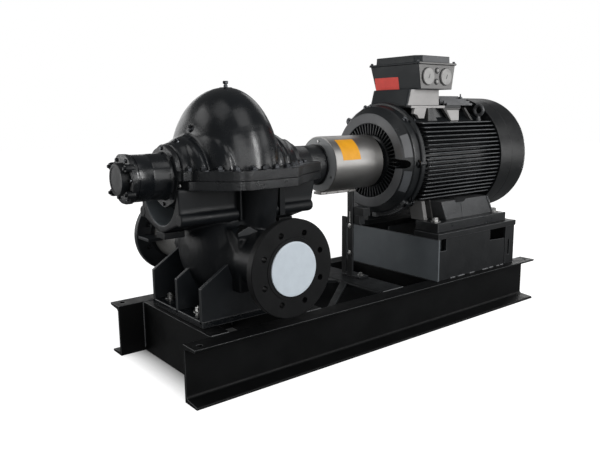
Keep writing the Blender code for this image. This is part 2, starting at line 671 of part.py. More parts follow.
def terminal_box():
    """Pad on the motor, neck, box, lid and cable plugs."""
    terminal_pad()
    foot_x, head_x = NECK_X
    neck = [(foot_x[0], PAD_TOP + GAP), (foot_x[1], PAD_TOP + GAP), (head_x[1], BOX_Z[0] - GAP),
            (head_x[0], BOX_Z[0] - GAP)]
    prism("terminal_neck", neck, "Y", -0.100, 0.100, BLACK_GLOSS)
    low_x, high_x = BOX_X
    half = BOX_HALF_WIDTH
    rings = []
    for level, pull in ((BOX_Z[0], BOX_TAPER), (BOX_Z[1], 0.0)):
        corners = [(low_x + pull, -half), (high_x - pull, -half), (high_x - pull, half - pull),
                   (low_x + pull, half - pull)]
        rings.append([Vector((x, y, level)) for x, y in corners])
    loft("terminal_box", rings, BLACK_GLOSS, None)
    lid_low = BOX_Z[1] + GAP
    reach = half + LID_LIP
    lid = box("terminal_box_lid", (low_x - LID_LIP, high_x + LID_LIP), (-reach, reach),
              (lid_low, lid_low + 0.008), BLACK_GLOSS)
    inset = 0.005
    corners = [(low_x + inset, -half + inset), (high_x - inset, -half + inset),
               (high_x - inset, half - inset), (low_x + inset, half - inset)]
    outline = []
    for (x, y), (turn_x, turn_y) in zip(corners, ((1, 1), (-1, 1), (-1, -1), (1, -1))):
        ends = [(x, y + turn_y * LID_CHAMFER), (x + turn_x * LID_CHAMFER, y)]
        outline += ends if turn_x == turn_y else reversed(ends)
    panel = prism("lid_panel", outline, "Z", lid_low + 0.004, lid_low + LID_HEIGHT, BLACK_GLOSS)
    join_shapes(lid, [panel])
    for name, shift in (("left_cable_plug", -PLUG_SPACING / 2), ("right_cable_plug", PLUG_SPACING / 2)):
        turned(name, [(-half - GAP, 0), (-half - GAP, PLUG_RADIUS), (-half - 0.007, PLUG_RADIUS),
                      (-half - 0.010, PLUG_RADIUS - 0.006), (-half - 0.010, 0)], "Y",
               (PLUG_MIDDLE_X + shift, 0, PLUG_Z), BLACK_PLUG, 32)


def terminal_pad():
    """Level plate on splayed legs that stand on the motor frame's round core."""
    plate = (PAD_TOP - 0.010, PAD_TOP)
    pad = box("terminal_pad", PAD_X, (-PAD_HALF_WIDTH, PAD_HALF_WIDTH), plate, BLACK_GLOSS)
    hip = plate[0] + 0.004
    foot = SHAFT_Z + MOTOR_CORE_RADIUS * 0.70
    legs = []
    for index, (top_x, foot_x) in enumerate((((0.231, 0.314), (0.262, 0.296)), ((0.326, 0.334),) * 2,
                                             ((0.412, 0.522), (0.466, 0.516)))):
        outline = [(top_x[0], hip), (foot_x[0], foot), (foot_x[1], foot), (top_x[1], hip)]
        legs.append(prism(f"pad_leg_{index}", outline, "Y", -PAD_HALF_WIDTH + 0.004,
                          PAD_HALF_WIDTH - 0.004, BLACK_GLOSS))
    join_shapes(pad, legs)
    core = prism("pad_clearance", clearance_outline(), "X", 0.1, 0.9, BLACK_GLOSS)
    join_shapes(pad, [core], "DIFFERENCE")


def clearance_outline():
    """A polygon just outside the motor frame's round core."""
    sides = 48
    radius = (MOTOR_CORE_RADIUS + GAP) / math.cos(math.pi / sides)
    ring = arc((0, 0), radius, 0, 360 - 360 / sides, sides - 1)
    return [(across, SHAFT_Z + up) for across, up in ring]


def lifting_gear():
    """Plate with upright fins behind the terminal box, and a lifting eye beyond it."""
    half = TOP_FIN_THICKNESS / 2
    right = [(TOP_PLATE_HALF_WIDTH, PAD_TOP + GAP), (TOP_PLATE_HALF_WIDTH, TOP_PLATE_HIGH)]
    for middle, level in reversed(TOP_FIN_STEPS[1:]):
        right += [(middle + half, TOP_PLATE_HIGH), (middle + half, level), (middle - half, level),
                  (middle - half, TOP_PLATE_HIGH)]
    right += [(half, TOP_PLATE_HIGH), (half, TOP_FIN_STEPS[0][1])]
    prism("rear_top_plate", right + mirrored(right), "X", TOP_FIN_X[0], TOP_FIN_X[1], BLACK_GLOSS)
    ring = [(EYE_BAR_RADIUS * math.cos(math.tau * i / 10),
             EYE_RADIUS + EYE_BAR_RADIUS * math.sin(math.tau * i / 10)) for i in range(10)]
    eye = turned("lifting_eye", ring, "X", EYE_CENTRE, BLACK_GLOSS, 28, ring=True)
    fin_top = SHAFT_Z + (MOTOR_FIN_COUNT - 1) / 2 * MOTOR_FIN_PITCH + MOTOR_FIN_THICKNESS / 2
    sole = fin_top + GAP
    stem = [(sole, 0), (sole, 0.011), (sole + 0.024, 0.011), (sole + 0.024, 0)]
    foot = turned("eye_foot", stem, "Z", (EYE_CENTRE[0], EYE_CENTRE[1], 0), BLACK_GLOSS, 16)
    join_shapes(eye, [foot])


def motor_pedestal():
    """Welded box of plates that lifts the motor to shaft height."""
    low = CHANNEL_HEIGHT + GAP
    high = PEDESTAL_TOP
    front, rear = PEDESTAL_X
    half = PEDESTAL_HALF_WIDTH
    plate = 0.010
    side_face = half - 0.006
    inner = side_face - plate - GAP
    box("pedestal_front_plate", (front, front + plate), (-half, half), (low, high), BLACK_GLOSS)
    box("pedestal_rear_plate", (rear - plate, rear), (-inner, inner), (low, high), BLACK_GLOSS)
    start = front + plate + GAP
    post = rear - POST_WIDTH
    end = post - POST_GAP
    left, right = SIDE_NOTCHES
    outline = [(start, low), (end, low), (end, right[1]), (right[0], right[1] + 0.004), (right[0], high),
               (left[0] + left[2], high), (left[0] + left[2], left[1]), (left[0], left[1]),
               (left[0], high), (start, high)]
    for word, side in (("near", -1), ("far", 1)):
        near, far = sorted((side * side_face, side * (side_face - plate)))
        prism(f"pedestal_{word}_plate", outline, "Y", near, far, BLACK_GLOSS)
        box(f"pedestal_{word}_post", (post, rear), (near, far), (low, high), BLACK_GLOSS)
    for name, side in (("near_motor_rail", -1), ("far_motor_rail", 1)):
        near, far = sorted((side * half, side * (half - RAIL_WIDTH)))
        box(name, (front, rear), (near, far), (high + GAP, high + GAP + RAIL_THICKNESS), BLACK_GLOSS)


def main():
    clear_scene()
    base_frame()
    pump()
    coupling_and_guard()
    motor_pedestal()
    motor()


main()
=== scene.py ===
"""Looks of a split-case pump set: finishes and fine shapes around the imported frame.

Metres, +Z up. X runs along the shaft, from the pump (-X) to the motor (+X), and -Y is the near side.
"""
import random
from math import copysign, cos, hypot, pi, radians, sin, sqrt, tau

import bmesh
import bpy
from mathutils import Matrix, Vector


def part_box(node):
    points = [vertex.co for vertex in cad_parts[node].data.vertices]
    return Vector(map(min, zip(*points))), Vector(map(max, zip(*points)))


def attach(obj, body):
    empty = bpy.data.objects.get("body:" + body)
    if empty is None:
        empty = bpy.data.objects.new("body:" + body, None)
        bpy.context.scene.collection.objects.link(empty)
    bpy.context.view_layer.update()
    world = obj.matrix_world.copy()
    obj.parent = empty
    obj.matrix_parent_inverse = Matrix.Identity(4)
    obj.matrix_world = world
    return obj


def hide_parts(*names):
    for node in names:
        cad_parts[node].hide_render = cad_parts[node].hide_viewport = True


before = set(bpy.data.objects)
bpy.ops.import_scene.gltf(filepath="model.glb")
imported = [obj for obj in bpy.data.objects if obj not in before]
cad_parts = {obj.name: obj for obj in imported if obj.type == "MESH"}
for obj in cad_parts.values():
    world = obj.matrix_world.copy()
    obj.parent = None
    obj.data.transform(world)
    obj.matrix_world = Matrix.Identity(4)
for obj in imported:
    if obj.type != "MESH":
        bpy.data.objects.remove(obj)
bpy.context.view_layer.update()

# Sizes read from the frame
GUARD_LOW, GUARD_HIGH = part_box("coupling_guard")
SHAFT_Z = (GUARD_LOW.z + GUARD_HIGH.z) / 2
GUARD_RADIUS = (GUARD_HIGH.z - GUARD_LOW.z) / 2
CASE_LOW, CASE_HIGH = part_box("lower_casing")
DOME_LOW, DOME_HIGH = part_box("upper_casing")
PUMP_X = (DOME_LOW.x + DOME_HIGH.x) / 2
SHIELD_LOW, SHIELD_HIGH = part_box("drive_end_shield")
FIN_LOW, FIN_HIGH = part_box("motor_frame")
FAN_LOW, FAN_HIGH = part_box("fan_cover")
COVER_LOW, COVER_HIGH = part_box("near_flange_cover")
NOZZLE_X = (COVER_LOW.x + COVER_HIGH.x) / 2
NOZZLE_Z = (COVER_LOW.z + COVER_HIGH.z) / 2
BEAM_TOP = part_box("near_beam")[1].z

# Sizes of the fine shapes
SHAFT_HOLE = 0.034
GAP = 0.0003
FIN_COUNT = 19
FIN_PITCH = 0.0162
FIN_TIP = 0.0026
CORE_RADIUS = 0.196
FIN_RADIUS = (FIN_HIGH.y - FIN_LOW.y) / 2
SPLIT_TOP = 0.0235
SPLIT_BOTTOM = 0.034
SPLIT_SEAM = 0.0065
BAR_Z = 0.5195
BRACKET_END = 0.254
BARREL_RADIUS = 0.0722
FOOT_REACH = 0.009
FOOT_TOP = 0.404
CHEEK_TOP = 0.479
MOTOR_INNER = 0.15
MOTOR_RIM = 0.227
SADDLE_FOOT = 0.795
NECK_END = 0.221
FLANGE_RADIUS = 0.15
FLANGE_THICKNESS = 0.026
BOLT_CIRCLE = 0.1125
BOLT_HOLE = 0.0095

# Camera, fitted to the photograph
CAMERA_PLACE = (-1.6566, -1.7943, 0.8356)
CAMERA_YAW = 38.384
CAMERA_PITCH = 10.193
CAMERA_ROLL = -0.56
CAMERA_LENS = 37.68
SENSOR_WIDTH = 36.0

# Studio: softboxes on a dome around the set, as
# (name, degrees round from the near side, degrees up, width, height, watts)
STUDIO_MIDDLE = (-0.05, -0.1, 0.62)
STUDIO_REACH = 3.4
SURROUND_LEVEL = 0.13
FLOOR_HALF = 14
# Half size of the painted shadow on the floor under the frame, along x and y
SHADE_HALF = (0.82, 0.27)
SOFTBOXES = (("left_near_softbox", -48, 6, 1.4, 1.1, 7.0), ("near_softbox", -10, 8, 2.8, 1.8, 27.0),
             ("near_high_softbox", 8, 28, 1.5, 1.1, 5.0), ("left_high_softbox", -25, 28, 1.5, 1.1, 9.0),
             ("streak_softbox", 15, 20, 0.2, 2.2, 42.0), ("left_softbox", -126, 5, 2.2, 1.5, 29.0),
             ("right_near_softbox", 50, 3, 1.5, 1.1, 12.0), ("right_high_softbox", 52, 28, 1.6, 1.1, 8.0),
             ("overhead_softbox", 0, 62, 1.6, 1.6, 10.0), ("left_overhead_softbox", -90, 62, 1.6, 1.6, 6.0),
             ("rear_left_softbox", -125, 34, 1.6, 1.1, 8.0), ("rear_right_softbox", 125, 30, 1.6, 1.3, 6.0),
             ("right_softbox", 98, 0, 2.2, 0.8, 22.0), ("rear_softbox", -176, 10, 2.6, 1.4, 14.0))


# Node materials
def new_material(name, colour, roughness, metallic=0.0, level=0.5):
    """A Principled material, its node tree, its shader and its object coordinates."""
    made = bpy.data.materials.new(name)
    made.use_nodes = True
    tree = made.node_tree
    shader = tree.nodes["Principled BSDF"]
    shader.inputs["Base Color"].default_value = (*colour, 1.0)
    shader.inputs["Roughness"].default_value = roughness
    shader.inputs["Metallic"].default_value = metallic
    shader.inputs["Specular IOR Level"].default_value = level
    made.diffuse_color = (*colour, 1.0)
    where = tree.nodes.new("ShaderNodeTexCoord").outputs["Object"]
    return made, tree, shader, where


def stretched(tree, where, scale):
    """Coordinates scaled by a different amount along each axis."""
    mapping = tree.nodes.new("ShaderNodeMapping")
    mapping.inputs["Scale"].default_value = scale
    tree.links.new(where, mapping.inputs["Vector"])
    return mapping.outputs["Vector"]


def noise(tree, where, scale, detail=3.0, rough=0.55):
    """A noise value between about 0.3 and 0.7."""
    made = tree.nodes.new("ShaderNodeTexNoise")
    made.inputs["Scale"].default_value = scale
    made.inputs["Detail"].default_value = detail
    made.inputs["Roughness"].default_value = rough
    tree.links.new(where, made.inputs["Vector"])
    return made.outputs["Fac"]


def ranged(tree, value, low, high, start=0.32, stop=0.68):
    """A value stretched from start and stop to low and high."""
    made = tree.nodes.new("ShaderNodeMapRange")
    made.inputs["From Min"].default_value = start
    made.inputs["From Max"].default_value = stop
    made.inputs["To Min"].default_value = low
    made.inputs["To Max"].default_value = high
    tree.links.new(value, made.inputs["Value"])
    return made.outputs["Result"]


def blended(tree, factor, first, second):
    """Two colours mixed by a factor."""
    made = tree.nodes.new("ShaderNodeMix")
    made.data_type = "RGBA"
    made.inputs[6].default_value = (*first, 1.0)
    made.inputs[7].default_value = (*second, 1.0)
    tree.links.new(factor, made.inputs[0])
    return made.outputs[2]


def bumped(tree, shader, layers):
    """Chain bump layers of (height, strength, distance) into the shader's normal."""
    last = None
    for height, strength, distance in layers:
        bump = tree.nodes.new("ShaderNodeBump")
        bump.inputs["Strength"].default_value = strength
        bump.inputs["Distance"].default_value = distance
        tree.links.new(height, bump.inputs["Height"])
        if last is not None:
            tree.links.new(last, bump.inputs["Normal"])
        last = bump.outputs["Normal"]
    tree.links.new(last, shader.inputs["Normal"])


def coated(name, base, dark, light, roughness, cloud, gloss, sway, layers, stretch=None, **more):
    """A cloudy tone, uneven gloss and a chain of bumps, each from its own noise settings."""
    made, tree, shader, where = new_material(name, base, roughness, **more)
    shade = blended(tree, ranged(tree, noise(tree, where, *cloud), 0.0, 1.0), dark, light)
    tree.links.new(shade, shader.inputs["Base Color"])
    fine = stretched(tree, where, stretch) if stretch else where
    rough = ranged(tree, noise(tree, fine, *gloss), roughness - sway[0], roughness + sway[1])
    tree.links.new(rough, shader.inputs["Roughness"])
    bumped(tree, shader, [(noise(tree, fine, *grain), strength, depth) for grain, strength, depth in layers])
    return made


def paint(name, dark, light, roughness, cast=0.0, peel=0.12, level=0.3):
    """Paint: cloudy tone, uneven gloss, orange peel and, on castings, sand grain."""
    layers = [((420.0, 2.0), peel, 0.0004)]
    if cast:
        layers += [((150.0, 4.0, 0.62), cast, 0.0016), ((34.0, 3.0), cast * 0.3, 0.003)]
    return coated(name, dark, dark, light, roughness, (7.0, 4.0), (23.0, 5.0), (0.06, 0.08), layers,
                  level=level)


def brushed_steel(name, light, dark, stretch, roughness):
    """Bare steel with fine straight grain in one direction."""
    grain = (1.0, 6.0, 0.7)
    return coated(name, light, dark, light, roughness, (9.0, 3.0), grain, (0.06, 0.1), [(grain, 0.1, 0.0003)],
                  stretch, metallic=1.0)


def plain_metal(name, light, dark, roughness):
    """Plated or oiled metal with a mottled sheen."""
    return coated(name, light, dark, light, roughness, (60.0, 4.0), (130.0,), (0.08, 0.1),
                  [((240.0,), 0.12, 0.0004)], metallic=1.0)


def film(name, light, dark, roughness, scale=40.0):
    """Plain film or moulded plastic: a soft mottle and a fine grain."""
    return coated(name, light, dark, light, roughness, (scale, 4.0), (90.0,), (0.05, 0.06),
                  [((700.0,), 0.08, 0.0002)])


CAST = paint("pump_cast_paint", (0.0055, 0.0065, 0.0078), (0.009, 0.0105, 0.0124), 0.23, 0.08, level=0.5)
BODY_CAST = paint("lower_casing_paint", (0.004, 0.0048, 0.0058), (0.0068, 0.008, 0.0094), 0.4,
                  0.1, level=0.25)
WEB_CAST = paint("foot_web_paint", (0.011, 0.0128, 0.015), (0.019, 0.0218, 0.025), 0.34, 0.3, level=0.5)
ROUGH_CAST = paint("flange_cast_paint", (0.0055, 0.0063, 0.0074), (0.0105, 0.0118, 0.0134), 0.32, 0.85,
                   peel=0.7, level=0.5)
NOZZLE_CAST = paint("nozzle_flange_paint", (0.006, 0.0062, 0.0066), (0.0095, 0.0098, 0.0102), 0.46,
                    0.2, level=0.15)
# Far nozzle neck: a pale grey that paints on the sheen of its lit side
NECK_SHEEN_GREY = paint("far_nozzle_painted_sheen", (0.11, 0.109, 0.104), (0.17, 0.167, 0.16), 0.4, 0.5)
FRAME_PAINT = paint("frame_satin_paint", (0.0024, 0.0026, 0.0028), (0.0046, 0.0049, 0.0052), 0.48,
                    0.08, level=0.14)
SHEET_PAINT = paint("pedestal_paint", (0.0055, 0.0062, 0.007), (0.009, 0.01, 0.0112), 0.42, 0.06, level=0.35)
# A lighter grey that paints light onto faces turned to the left: the pedestal's front and the trough floor
LIT_FACE_PAINT = paint("end_face_painted_light", (0.088, 0.1, 0.109), (0.115, 0.129, 0.139), 0.36, 0.06, level=0.5)
# A lighter paint for bevelled edges and the boss's near face: a painted highlight
EDGE_HIGHLIGHT = paint("edge_painted_highlight", (0.03, 0.032, 0.034), (0.06, 0.063, 0.066), 0.36, level=0.5)
MOTOR_PAINT = paint("motor_paint", (0.0045, 0.0052, 0.006), (0.0075, 0.0085, 0.0095), 0.25,
                    peel=0.06, level=0.5)
# Fin crests: a lighter paint as a painted highlight
FIN_CREST_HIGHLIGHT = paint("fin_crest_painted_highlight", (0.055, 0.058, 0.061), (0.085, 0.089, 0.094), 0.24, level=0.5)
FAN_PAINT = paint("fan_cover_paint", (0.0034, 0.004, 0.0044), (0.0055, 0.0062, 0.0068), 0.34,
                  peel=0.05, level=0.5)
# A grey copy of the motor's black paint: painted light on the feet, the shield's lower ribs and the lifting
# eye
FOOT_LIT_GREY = paint("motor_foot_painted_light", (0.042, 0.044, 0.046), (0.075, 0.077, 0.08), 0.34, 0.5, level=0.5)
# Painted sheen on the shield's lower pad
LOW_PAD_SHEEN = paint("shield_low_pad_painted_sheen", (0.055, 0.059, 0.064), (0.085, 0.09, 0.096), 0.36, 0.12)
MOTOR_CAST = paint("motor_cast_paint", (0.006, 0.007, 0.008), (0.0105, 0.012, 0.0135), 0.32, 0.22, level=0.5)
BOX_PAINT = paint("terminal_box_paint", (0.015, 0.0182, 0.0205), (0.019, 0.0225, 0.025), 0.36, level=0.25)
# Painted reflection: a pale grey for faces that mirror a softbox, on the terminal box's near face and a foot
# rib
REFLECTION_GREY = paint("painted_reflection_grey", (0.17, 0.167, 0.164), (0.235, 0.231, 0.227), 0.36, 0.18)
# Painted sheen: a lighter grey on the shield pad and annulus, the top fins, the weld beads and the lid's side
PAD_SHEEN = paint("shield_pad_painted_sheen", (0.1, 0.102, 0.106), (0.15, 0.153, 0.158), 0.36, 0.3)
# Painted sheen on the foot and saddle ribs
RIB_SHEEN = paint("rib_painted_sheen", (0.06, 0.059, 0.058), (0.095, 0.094, 0.092), 0.34, 0.2)
# Painted reflection on the terminal neck's near side, the saddle legs and edge
PALE_REFLECTION = paint("neck_side_painted_reflection", (0.37, 0.36, 0.355), (0.47, 0.46, 0.455), 0.36, 0.12)
GUARD_STEEL = brushed_steel("guard_brushed_steel", (0.48, 0.47, 0.455), (0.39, 0.38, 0.37),
                            (900.0, 2.0, 2.0), 0.38)
# A grey paint in place of the guard plates' steel, with their reflection painted on
PLATE_SHEEN_GREY = paint("guard_plate_painted_sheen", (0.34, 0.35, 0.356), (0.41, 0.422, 0.428), 0.4, level=0.5)
ZINC = plain_metal("zinc_plated", (0.62, 0.62, 0.61), (0.42, 0.42, 0.41), 0.3)
OILED = plain_metal("oiled_steel", (0.16, 0.16, 0.165), (0.09, 0.09, 0.095), 0.34)
DULL_BOLT = plain_metal("painted_bolt", (0.095, 0.099, 0.105), (0.04, 0.042, 0.046), 0.3)
DISC_WHITE = film("white_disc", (0.6, 0.665, 0.72), (0.56, 0.62, 0.675), 0.42)
PLUG_GREY = film("plug_plastic", (0.4, 0.395, 0.385), (0.32, 0.315, 0.31), 0.38)
PLUG_BLACK = film("plug_black", (0.012, 0.012, 0.013), (0.008, 0.008, 0.009), 0.34)
ORANGE = film("orange_film", (0.88, 0.4, 0.012), (0.8, 0.35, 0.01), 0.45)
RED = film("red_film", (0.97, 0.075, 0.052), (0.9, 0.066, 0.046), 0.45)
FLOOR_PAINT = film("studio_floor", (0.5, 0.5, 0.5), (0.48, 0.48, 0.48), 0.6, 1.5)
FLOOR_SHADER = FLOOR_PAINT.node_tree.nodes["Principled BSDF"]
FLOOR_SHADER.inputs["Emission Color"].default_value = (1.0, 1.0, 1.0, 1.0)
FLOOR_SHADER.inputs["Specular IOR Level"].default_value = 0.0


# Shape helpers
def along_axis(axis, across, along):
    """A point from two coordinates across an axis and one along it."""
    if axis == "X":
        return Vector((along, across[0], across[1]))
    if axis == "Y":
        return Vector((across[0], along, across[1]))
    return Vector((across[0], across[1], along))


def facing(place, direction):
    """A matrix that puts local +Z along a direction at a place."""
    return Matrix.Translation(place) @ Vector(direction).to_track_quat("Z", "Y").to_matrix().to_4x4()


def on_shaft(x, side=1):
    """A matrix at a place on the shaft's axis, facing along it."""
    return facing((x, 0, SHAFT_Z), (side, 0, 0))


def round_shaft(x, reach, turn):
    """A point at a reach from the shaft's axis, in degrees up from the near side."""
    return Vector((x, -reach * cos(radians(turn)), SHAFT_Z + reach * sin(radians(turn))))


def bolt_circle(x, radius, count, start=0):
    """Points spaced evenly around the shaft's axis."""
    turns = [radians(start) + tau * index / count for index in range(count)]
    return [Vector((x, radius * cos(turn), SHAFT_Z + radius * sin(turn))) for turn in turns]


def sided(side, *reaches):
    """Distances from the middle plane on one side, in rising order."""
    return sorted(side * reach for reach in reaches)


def skin(bm, loops, caps=True, closed=False):
    """Faces between rings of vertices with equal counts."""
    pairs = list(zip(loops, loops[1:]))
    if closed:
        pairs.append((loops[-1], loops[0]))
    for low, high in pairs:
        for i in range(len(low)):
            j = (i + 1) % len(low)
            bm.faces.new((low[i], low[j], high[j], high[i]))
    if caps and not closed:
        bm.faces.new(loops[0])
        bm.faces.new(loops[-1])
    return bm


def add_turned(bm, profile, matrix, sides=24, closed=False, turn=0.0, reach=None):
    """A solid of rings: profile is (radius, height); reach may vary the radius by angle."""
    loops = []
    for radius, height in profile:
        loop = []
        for i in range(sides):
            angle = tau * i / sides + radians(turn)
            size = radius if reach is None else reach(radius, angle)
            loop.append(bm.verts.new(matrix @ Vector((size * cos(angle), size * sin(angle), height))))
        loops.append(loop)
    return skin(bm, loops, closed=closed)


def add_prism(bm, outline, axis, low, high):
    """An outline extruded along an axis."""
    return skin(bm, [[bm.verts.new(along_axis(axis, point, level)) for point in outline]
                     for level in (low, high)])


def add_box(bm, x, y, z):
    """A block given by its three ranges."""
    return add_prism(bm, [(y[0], z[0]), (y[1], z[0]), (y[1], z[1]), (y[0], z[1])], "X", x[0], x[1])


def add_block(bm, corners):
    """A block from eight corners, in pairs: two pairs at each end."""
    a, b, c, d, e, f, g, h = (bm.verts.new(corner) for corner in corners)
    for face in ((a, b, d, c), (e, f, h, g), (a, b, f, e), (c, d, h, g), (a, c, g, e), (b, d, h, f)):
        bm.faces.new(face)
    return bm


def add_strip(bm, rails):
    """A closed strip along rails of points, given in order around its section."""
    rails = [[bm.verts.new(point) for point in rail] for rail in rails]
    for first, second in zip(rails, rails[1:] + rails[:1]):
        for face in zip(first, first[1:], second[1:], second):
            bm.faces.new(face)
    for end in (0, -1):
        bm.faces.new([rail[end] for rail in rails])
    return bm


def arc(centre, radius, start, stop, count):
    """Points on a circular arc, angles in degrees."""
    points = []
    for i in range(count + 1):
        turn = radians(start + (stop - start) * i / count)
        points.append((centre[0] + radius * cos(turn), centre[1] + radius * sin(turn)))
    return points


def rounded(outline, radius, count=5):
    """The outline with each corner replaced by a curve of that reach."""
    made = []
    size = len(outline)
    for i, corner in enumerate(outline):
        here = Vector(corner)
        before = Vector(outline[i - 1]) - here
        after = Vector(outline[(i + 1) % size]) - here
        reach = min(radius, before.length * 0.45, after.length * 0.45)
        start = here + before.normalized() * reach
        stop = here + after.normalized() * reach
        for step in range(count + 1):
            t = step / count
            point = start * (1 - t) ** 2 + here * 2 * t * (1 - t) + stop * t ** 2
            made.append((point.x, point.y))
    return made


def add_hex_bolt(bm, matrix, across, height, washer=True, nut_stud=0.0, turn=0.0):
    """A hexagon head with a chamfered top on a washer, with an optional stud end through it."""
    base = 0.0
    if washer:
        base = across * 0.11
        add_turned(bm, [(across * 0.98, 0), (across * 0.98, base * 0.8), (across * 0.92, base)], matrix, 24)
    corner = across * 0.577
    add_turned(bm, [(corner, base), (corner, base + height * 0.84), (corner * 0.86, base + height)], matrix,
               6, turn=turn)
    if nut_stud:
        top = base + height + nut_stud
        add_turned(bm, [(across * 0.31, base), (across * 0.31, top - 0.001),
                        (across * 0.26, top)], matrix, 16)
    return bm


def mesh_object(name, bm):
    """A linked object from a bmesh."""
    mesh = bpy.data.meshes.new(name)
    bm.to_mesh(mesh)
    bm.free()
    made = bpy.data.objects.new(name, mesh)
    bpy.context.scene.collection.objects.link(made)
    return made


def piece(name, bm, look, swaps=(), smooth=32, bevel=0.0, segments=2, cutters=(), merge=True,
          edge_highlight=False):
    """Turn a bmesh into a finished piece of the object."""
    if merge:
        bmesh.ops.remove_doubles(bm, verts=bm.verts[:], dist=0.000005)
    bmesh.ops.recalc_face_normals(bm, faces=bm.faces[:])
    made = mesh_object(name, bm)
    mesh = made.data
    mesh.materials.append(look)
    # Bevelled edges can take a second, lighter paint: a painted highlight
    if edge_highlight:
        mesh.materials.append(EDGE_HIGHLIGHT)
    mesh.shade_smooth()
    mesh.set_sharp_from_angle(angle=radians(smooth))
    for cutter in cutters:
        cut = made.modifiers.new("cut", "BOOLEAN")
        cut.operation = "DIFFERENCE"
        cut.solver = "EXACT"
        cut.object = cutter
    if bevel:
        edge = made.modifiers.new("edge", "BEVEL")
        edge.width = bevel
        edge.segments = segments
        edge.limit_method = "ANGLE"
        edge.angle_limit = radians(30)
        edge.use_clamp_overlap = True
        edge.material = 1 if edge_highlight else -1
        even = made.modifiers.new("even", "WEIGHTED_NORMAL")
        even.keep_sharp = False
    if cutters or bevel:
        settle(made)
    for cutter in cutters:
        bpy.data.objects.remove(cutter, do_unlink=True)
    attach(made, "root")
    if swaps:
        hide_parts(*swaps)
    return made


def settle(made):
    """Apply an object's modifiers to its mesh."""
    bpy.context.view_layer.update()
    graph = bpy.context.evaluated_depsgraph_get()
    mesh = bpy.data.meshes.new_from_object(made.evaluated_get(graph))
    made.modifiers.clear()
    made.data = mesh


def tool(bm):
    """A cutting shape that is removed once it has been used."""
    bmesh.ops.recalc_face_normals(bm, faces=bm.faces[:])
    return mesh_object("cutting_shape", bm)


def recolour(made, look, chosen):
    """Give the faces that a test chooses a second look."""
    made.data.materials.append(look)
    for face in made.data.polygons:
        if chosen(face):
            face.material_index = 1


def drill(spots, axis, low, high, radius, sides=28):
    """A cutting shape of one round rod at each spot."""
    bm = bmesh.new()
    for spot in spots:
        start = along_axis(axis, spot, low)
        add_turned(bm, [(radius, 0), (radius, high - low)],
                   facing(start, along_axis(axis, (0, 0), 1.0)), sides)
    return tool(bm)


def cast_body(made, voxel, rounds, factor=0.5):
    """Fuse overlapping shapes into one smooth casting with soft corners."""
    fuse = made.modifiers.new("fuse", "REMESH")
    fuse.mode = "VOXEL"
    fuse.voxel_size = voxel
    fuse.use_smooth_shade = True
    soften = made.modifiers.new("soften", "SMOOTH")
    soften.factor = factor
    soften.iterations = rounds
    settle(made)
    made.data.shade_smooth()


# Base frame
def channel_section(depth, height, web=0.009, root=0.0135, toe=0.0085, fillet=0.01):
    """Rolled channel: back at 0, tapered flanges reaching to depth, filleted inside."""
    tip = arc((depth - 0.005, toe - 0.005), 0.005, 0, 90, 5)
    lower = [(0, 0), (depth, 0), *tip]
    slope = (root - toe) / (depth - web)
    lower += [(web + fillet + 0.002, root - slope * (fillet + 0.002))]
    lower += arc((web + fillet, root + fillet - 0.001), fillet, -95, -180, 6)
    return lower + [(across, height - up) for across, up in reversed(lower)]


def long_beams():
    """The two side channels with the holes in their top flanges."""
    for name in ("near_beam", "far_beam"):
        low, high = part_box(name)
        side = -1 if high.y < 0 else 1
        back = high.y if side < 0 else low.y
        outline = [(back + side * across, up) for across, up in channel_section(high.y - low.y, high.z)]
        bm = add_prism(bmesh.new(), outline, "X", low.x, high.x)
        hole_y = side * (abs(back) + (high.y - low.y) * 0.58)
        spots = [(end * (high.x - 0.032), hole_y) for end in (-1, 1)]
        hole = drill(spots, "Z", high.z - 0.03, high.z + 0.01, 0.009)
        piece(name + "_channel", bm, FRAME_PAINT, (name,), bevel=0.001, cutters=(hole,), edge_highlight=True)


def cross_members():
    """Channels and the box section that tie the side channels together."""
    for name in ("left_cross_channel", "pump_cross_channel", "motor_front_channel", "motor_rear_channel"):
        low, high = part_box(name)
        section = channel_section(high.x - low.x, high.z - low.z)
        bm = add_prism(bmesh.new(), [(low.x + across, up) for across, up in section], "Y", low.y, high.y)
        piece(name + "_section", bm, FRAME_PAINT, (name,), bevel=0.0009, edge_highlight=True)
    low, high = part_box("middle_cross_beam")
    bm = bmesh.new()
    wall = 0.009
    outer = rounded([(low.x, low.z), (high.x, low.z), (high.x, high.z), (low.x, high.z)], 0.012, 6)
    inner = rounded([(low.x + wall, low.z + wall), (high.x - wall, low.z + wall),
                     (high.x - wall, high.z - wall), (low.x + wall, high.z - wall)], 0.006, 6)
    loops = []
    for outline, level in ((outer, low.y), (outer, high.y), (inner, high.y), (inner, low.y)):
        loops.append([bm.verts.new(along_axis("Y", point, level)) for point in outline])
    skin(bm, loops, closed=True)
    piece("middle_cross_tube", bm, SHEET_PAINT, ("middle_cross_beam",))
    for name in ("near_brace", "far_brace"):
        low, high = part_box(name)
        side = -1 if low.y < 0 else 1
        inner_y, outer_y = sorted((abs(low.y), abs(high.y)))
        width = 0.034
        outline = [(low.x, side * outer_y), (low.x + width, side * outer_y),
                   (high.x, side * (inner_y + width)), (high.x, side * inner_y)]
        bm = add_prism(bmesh.new(), outline, "Z", low.z, high.z)
        piece(name + "_bar", bm, SHEET_PAINT, (name,), bevel=0.0012, edge_highlight=True)


def weld_bead(bm, start, stop, radius, seed):
    """A rippled weld along a straight joint."""
    chance = random.Random(seed)
    start, stop = Vector(start), Vector(stop)
    steps = max(4, int((stop - start).length / 0.003))
    spin = facing((0, 0, 0), stop - start)
    loops = []
    for i in range(steps + 1):
        ripple = 1 + 0.22 * sin(i * tau / 3) + chance.uniform(-0.08, 0.08)
        size = radius * (0.55 if i in (0, steps) else ripple)
        middle = start.lerp(stop, i / steps)
        rim = arc((0, 0), size, 0, 315, 7)
        loops.append([bm.verts.new(middle + spin @ Vector((across, up, 0))) for across, up in rim])
    skin(bm, loops)


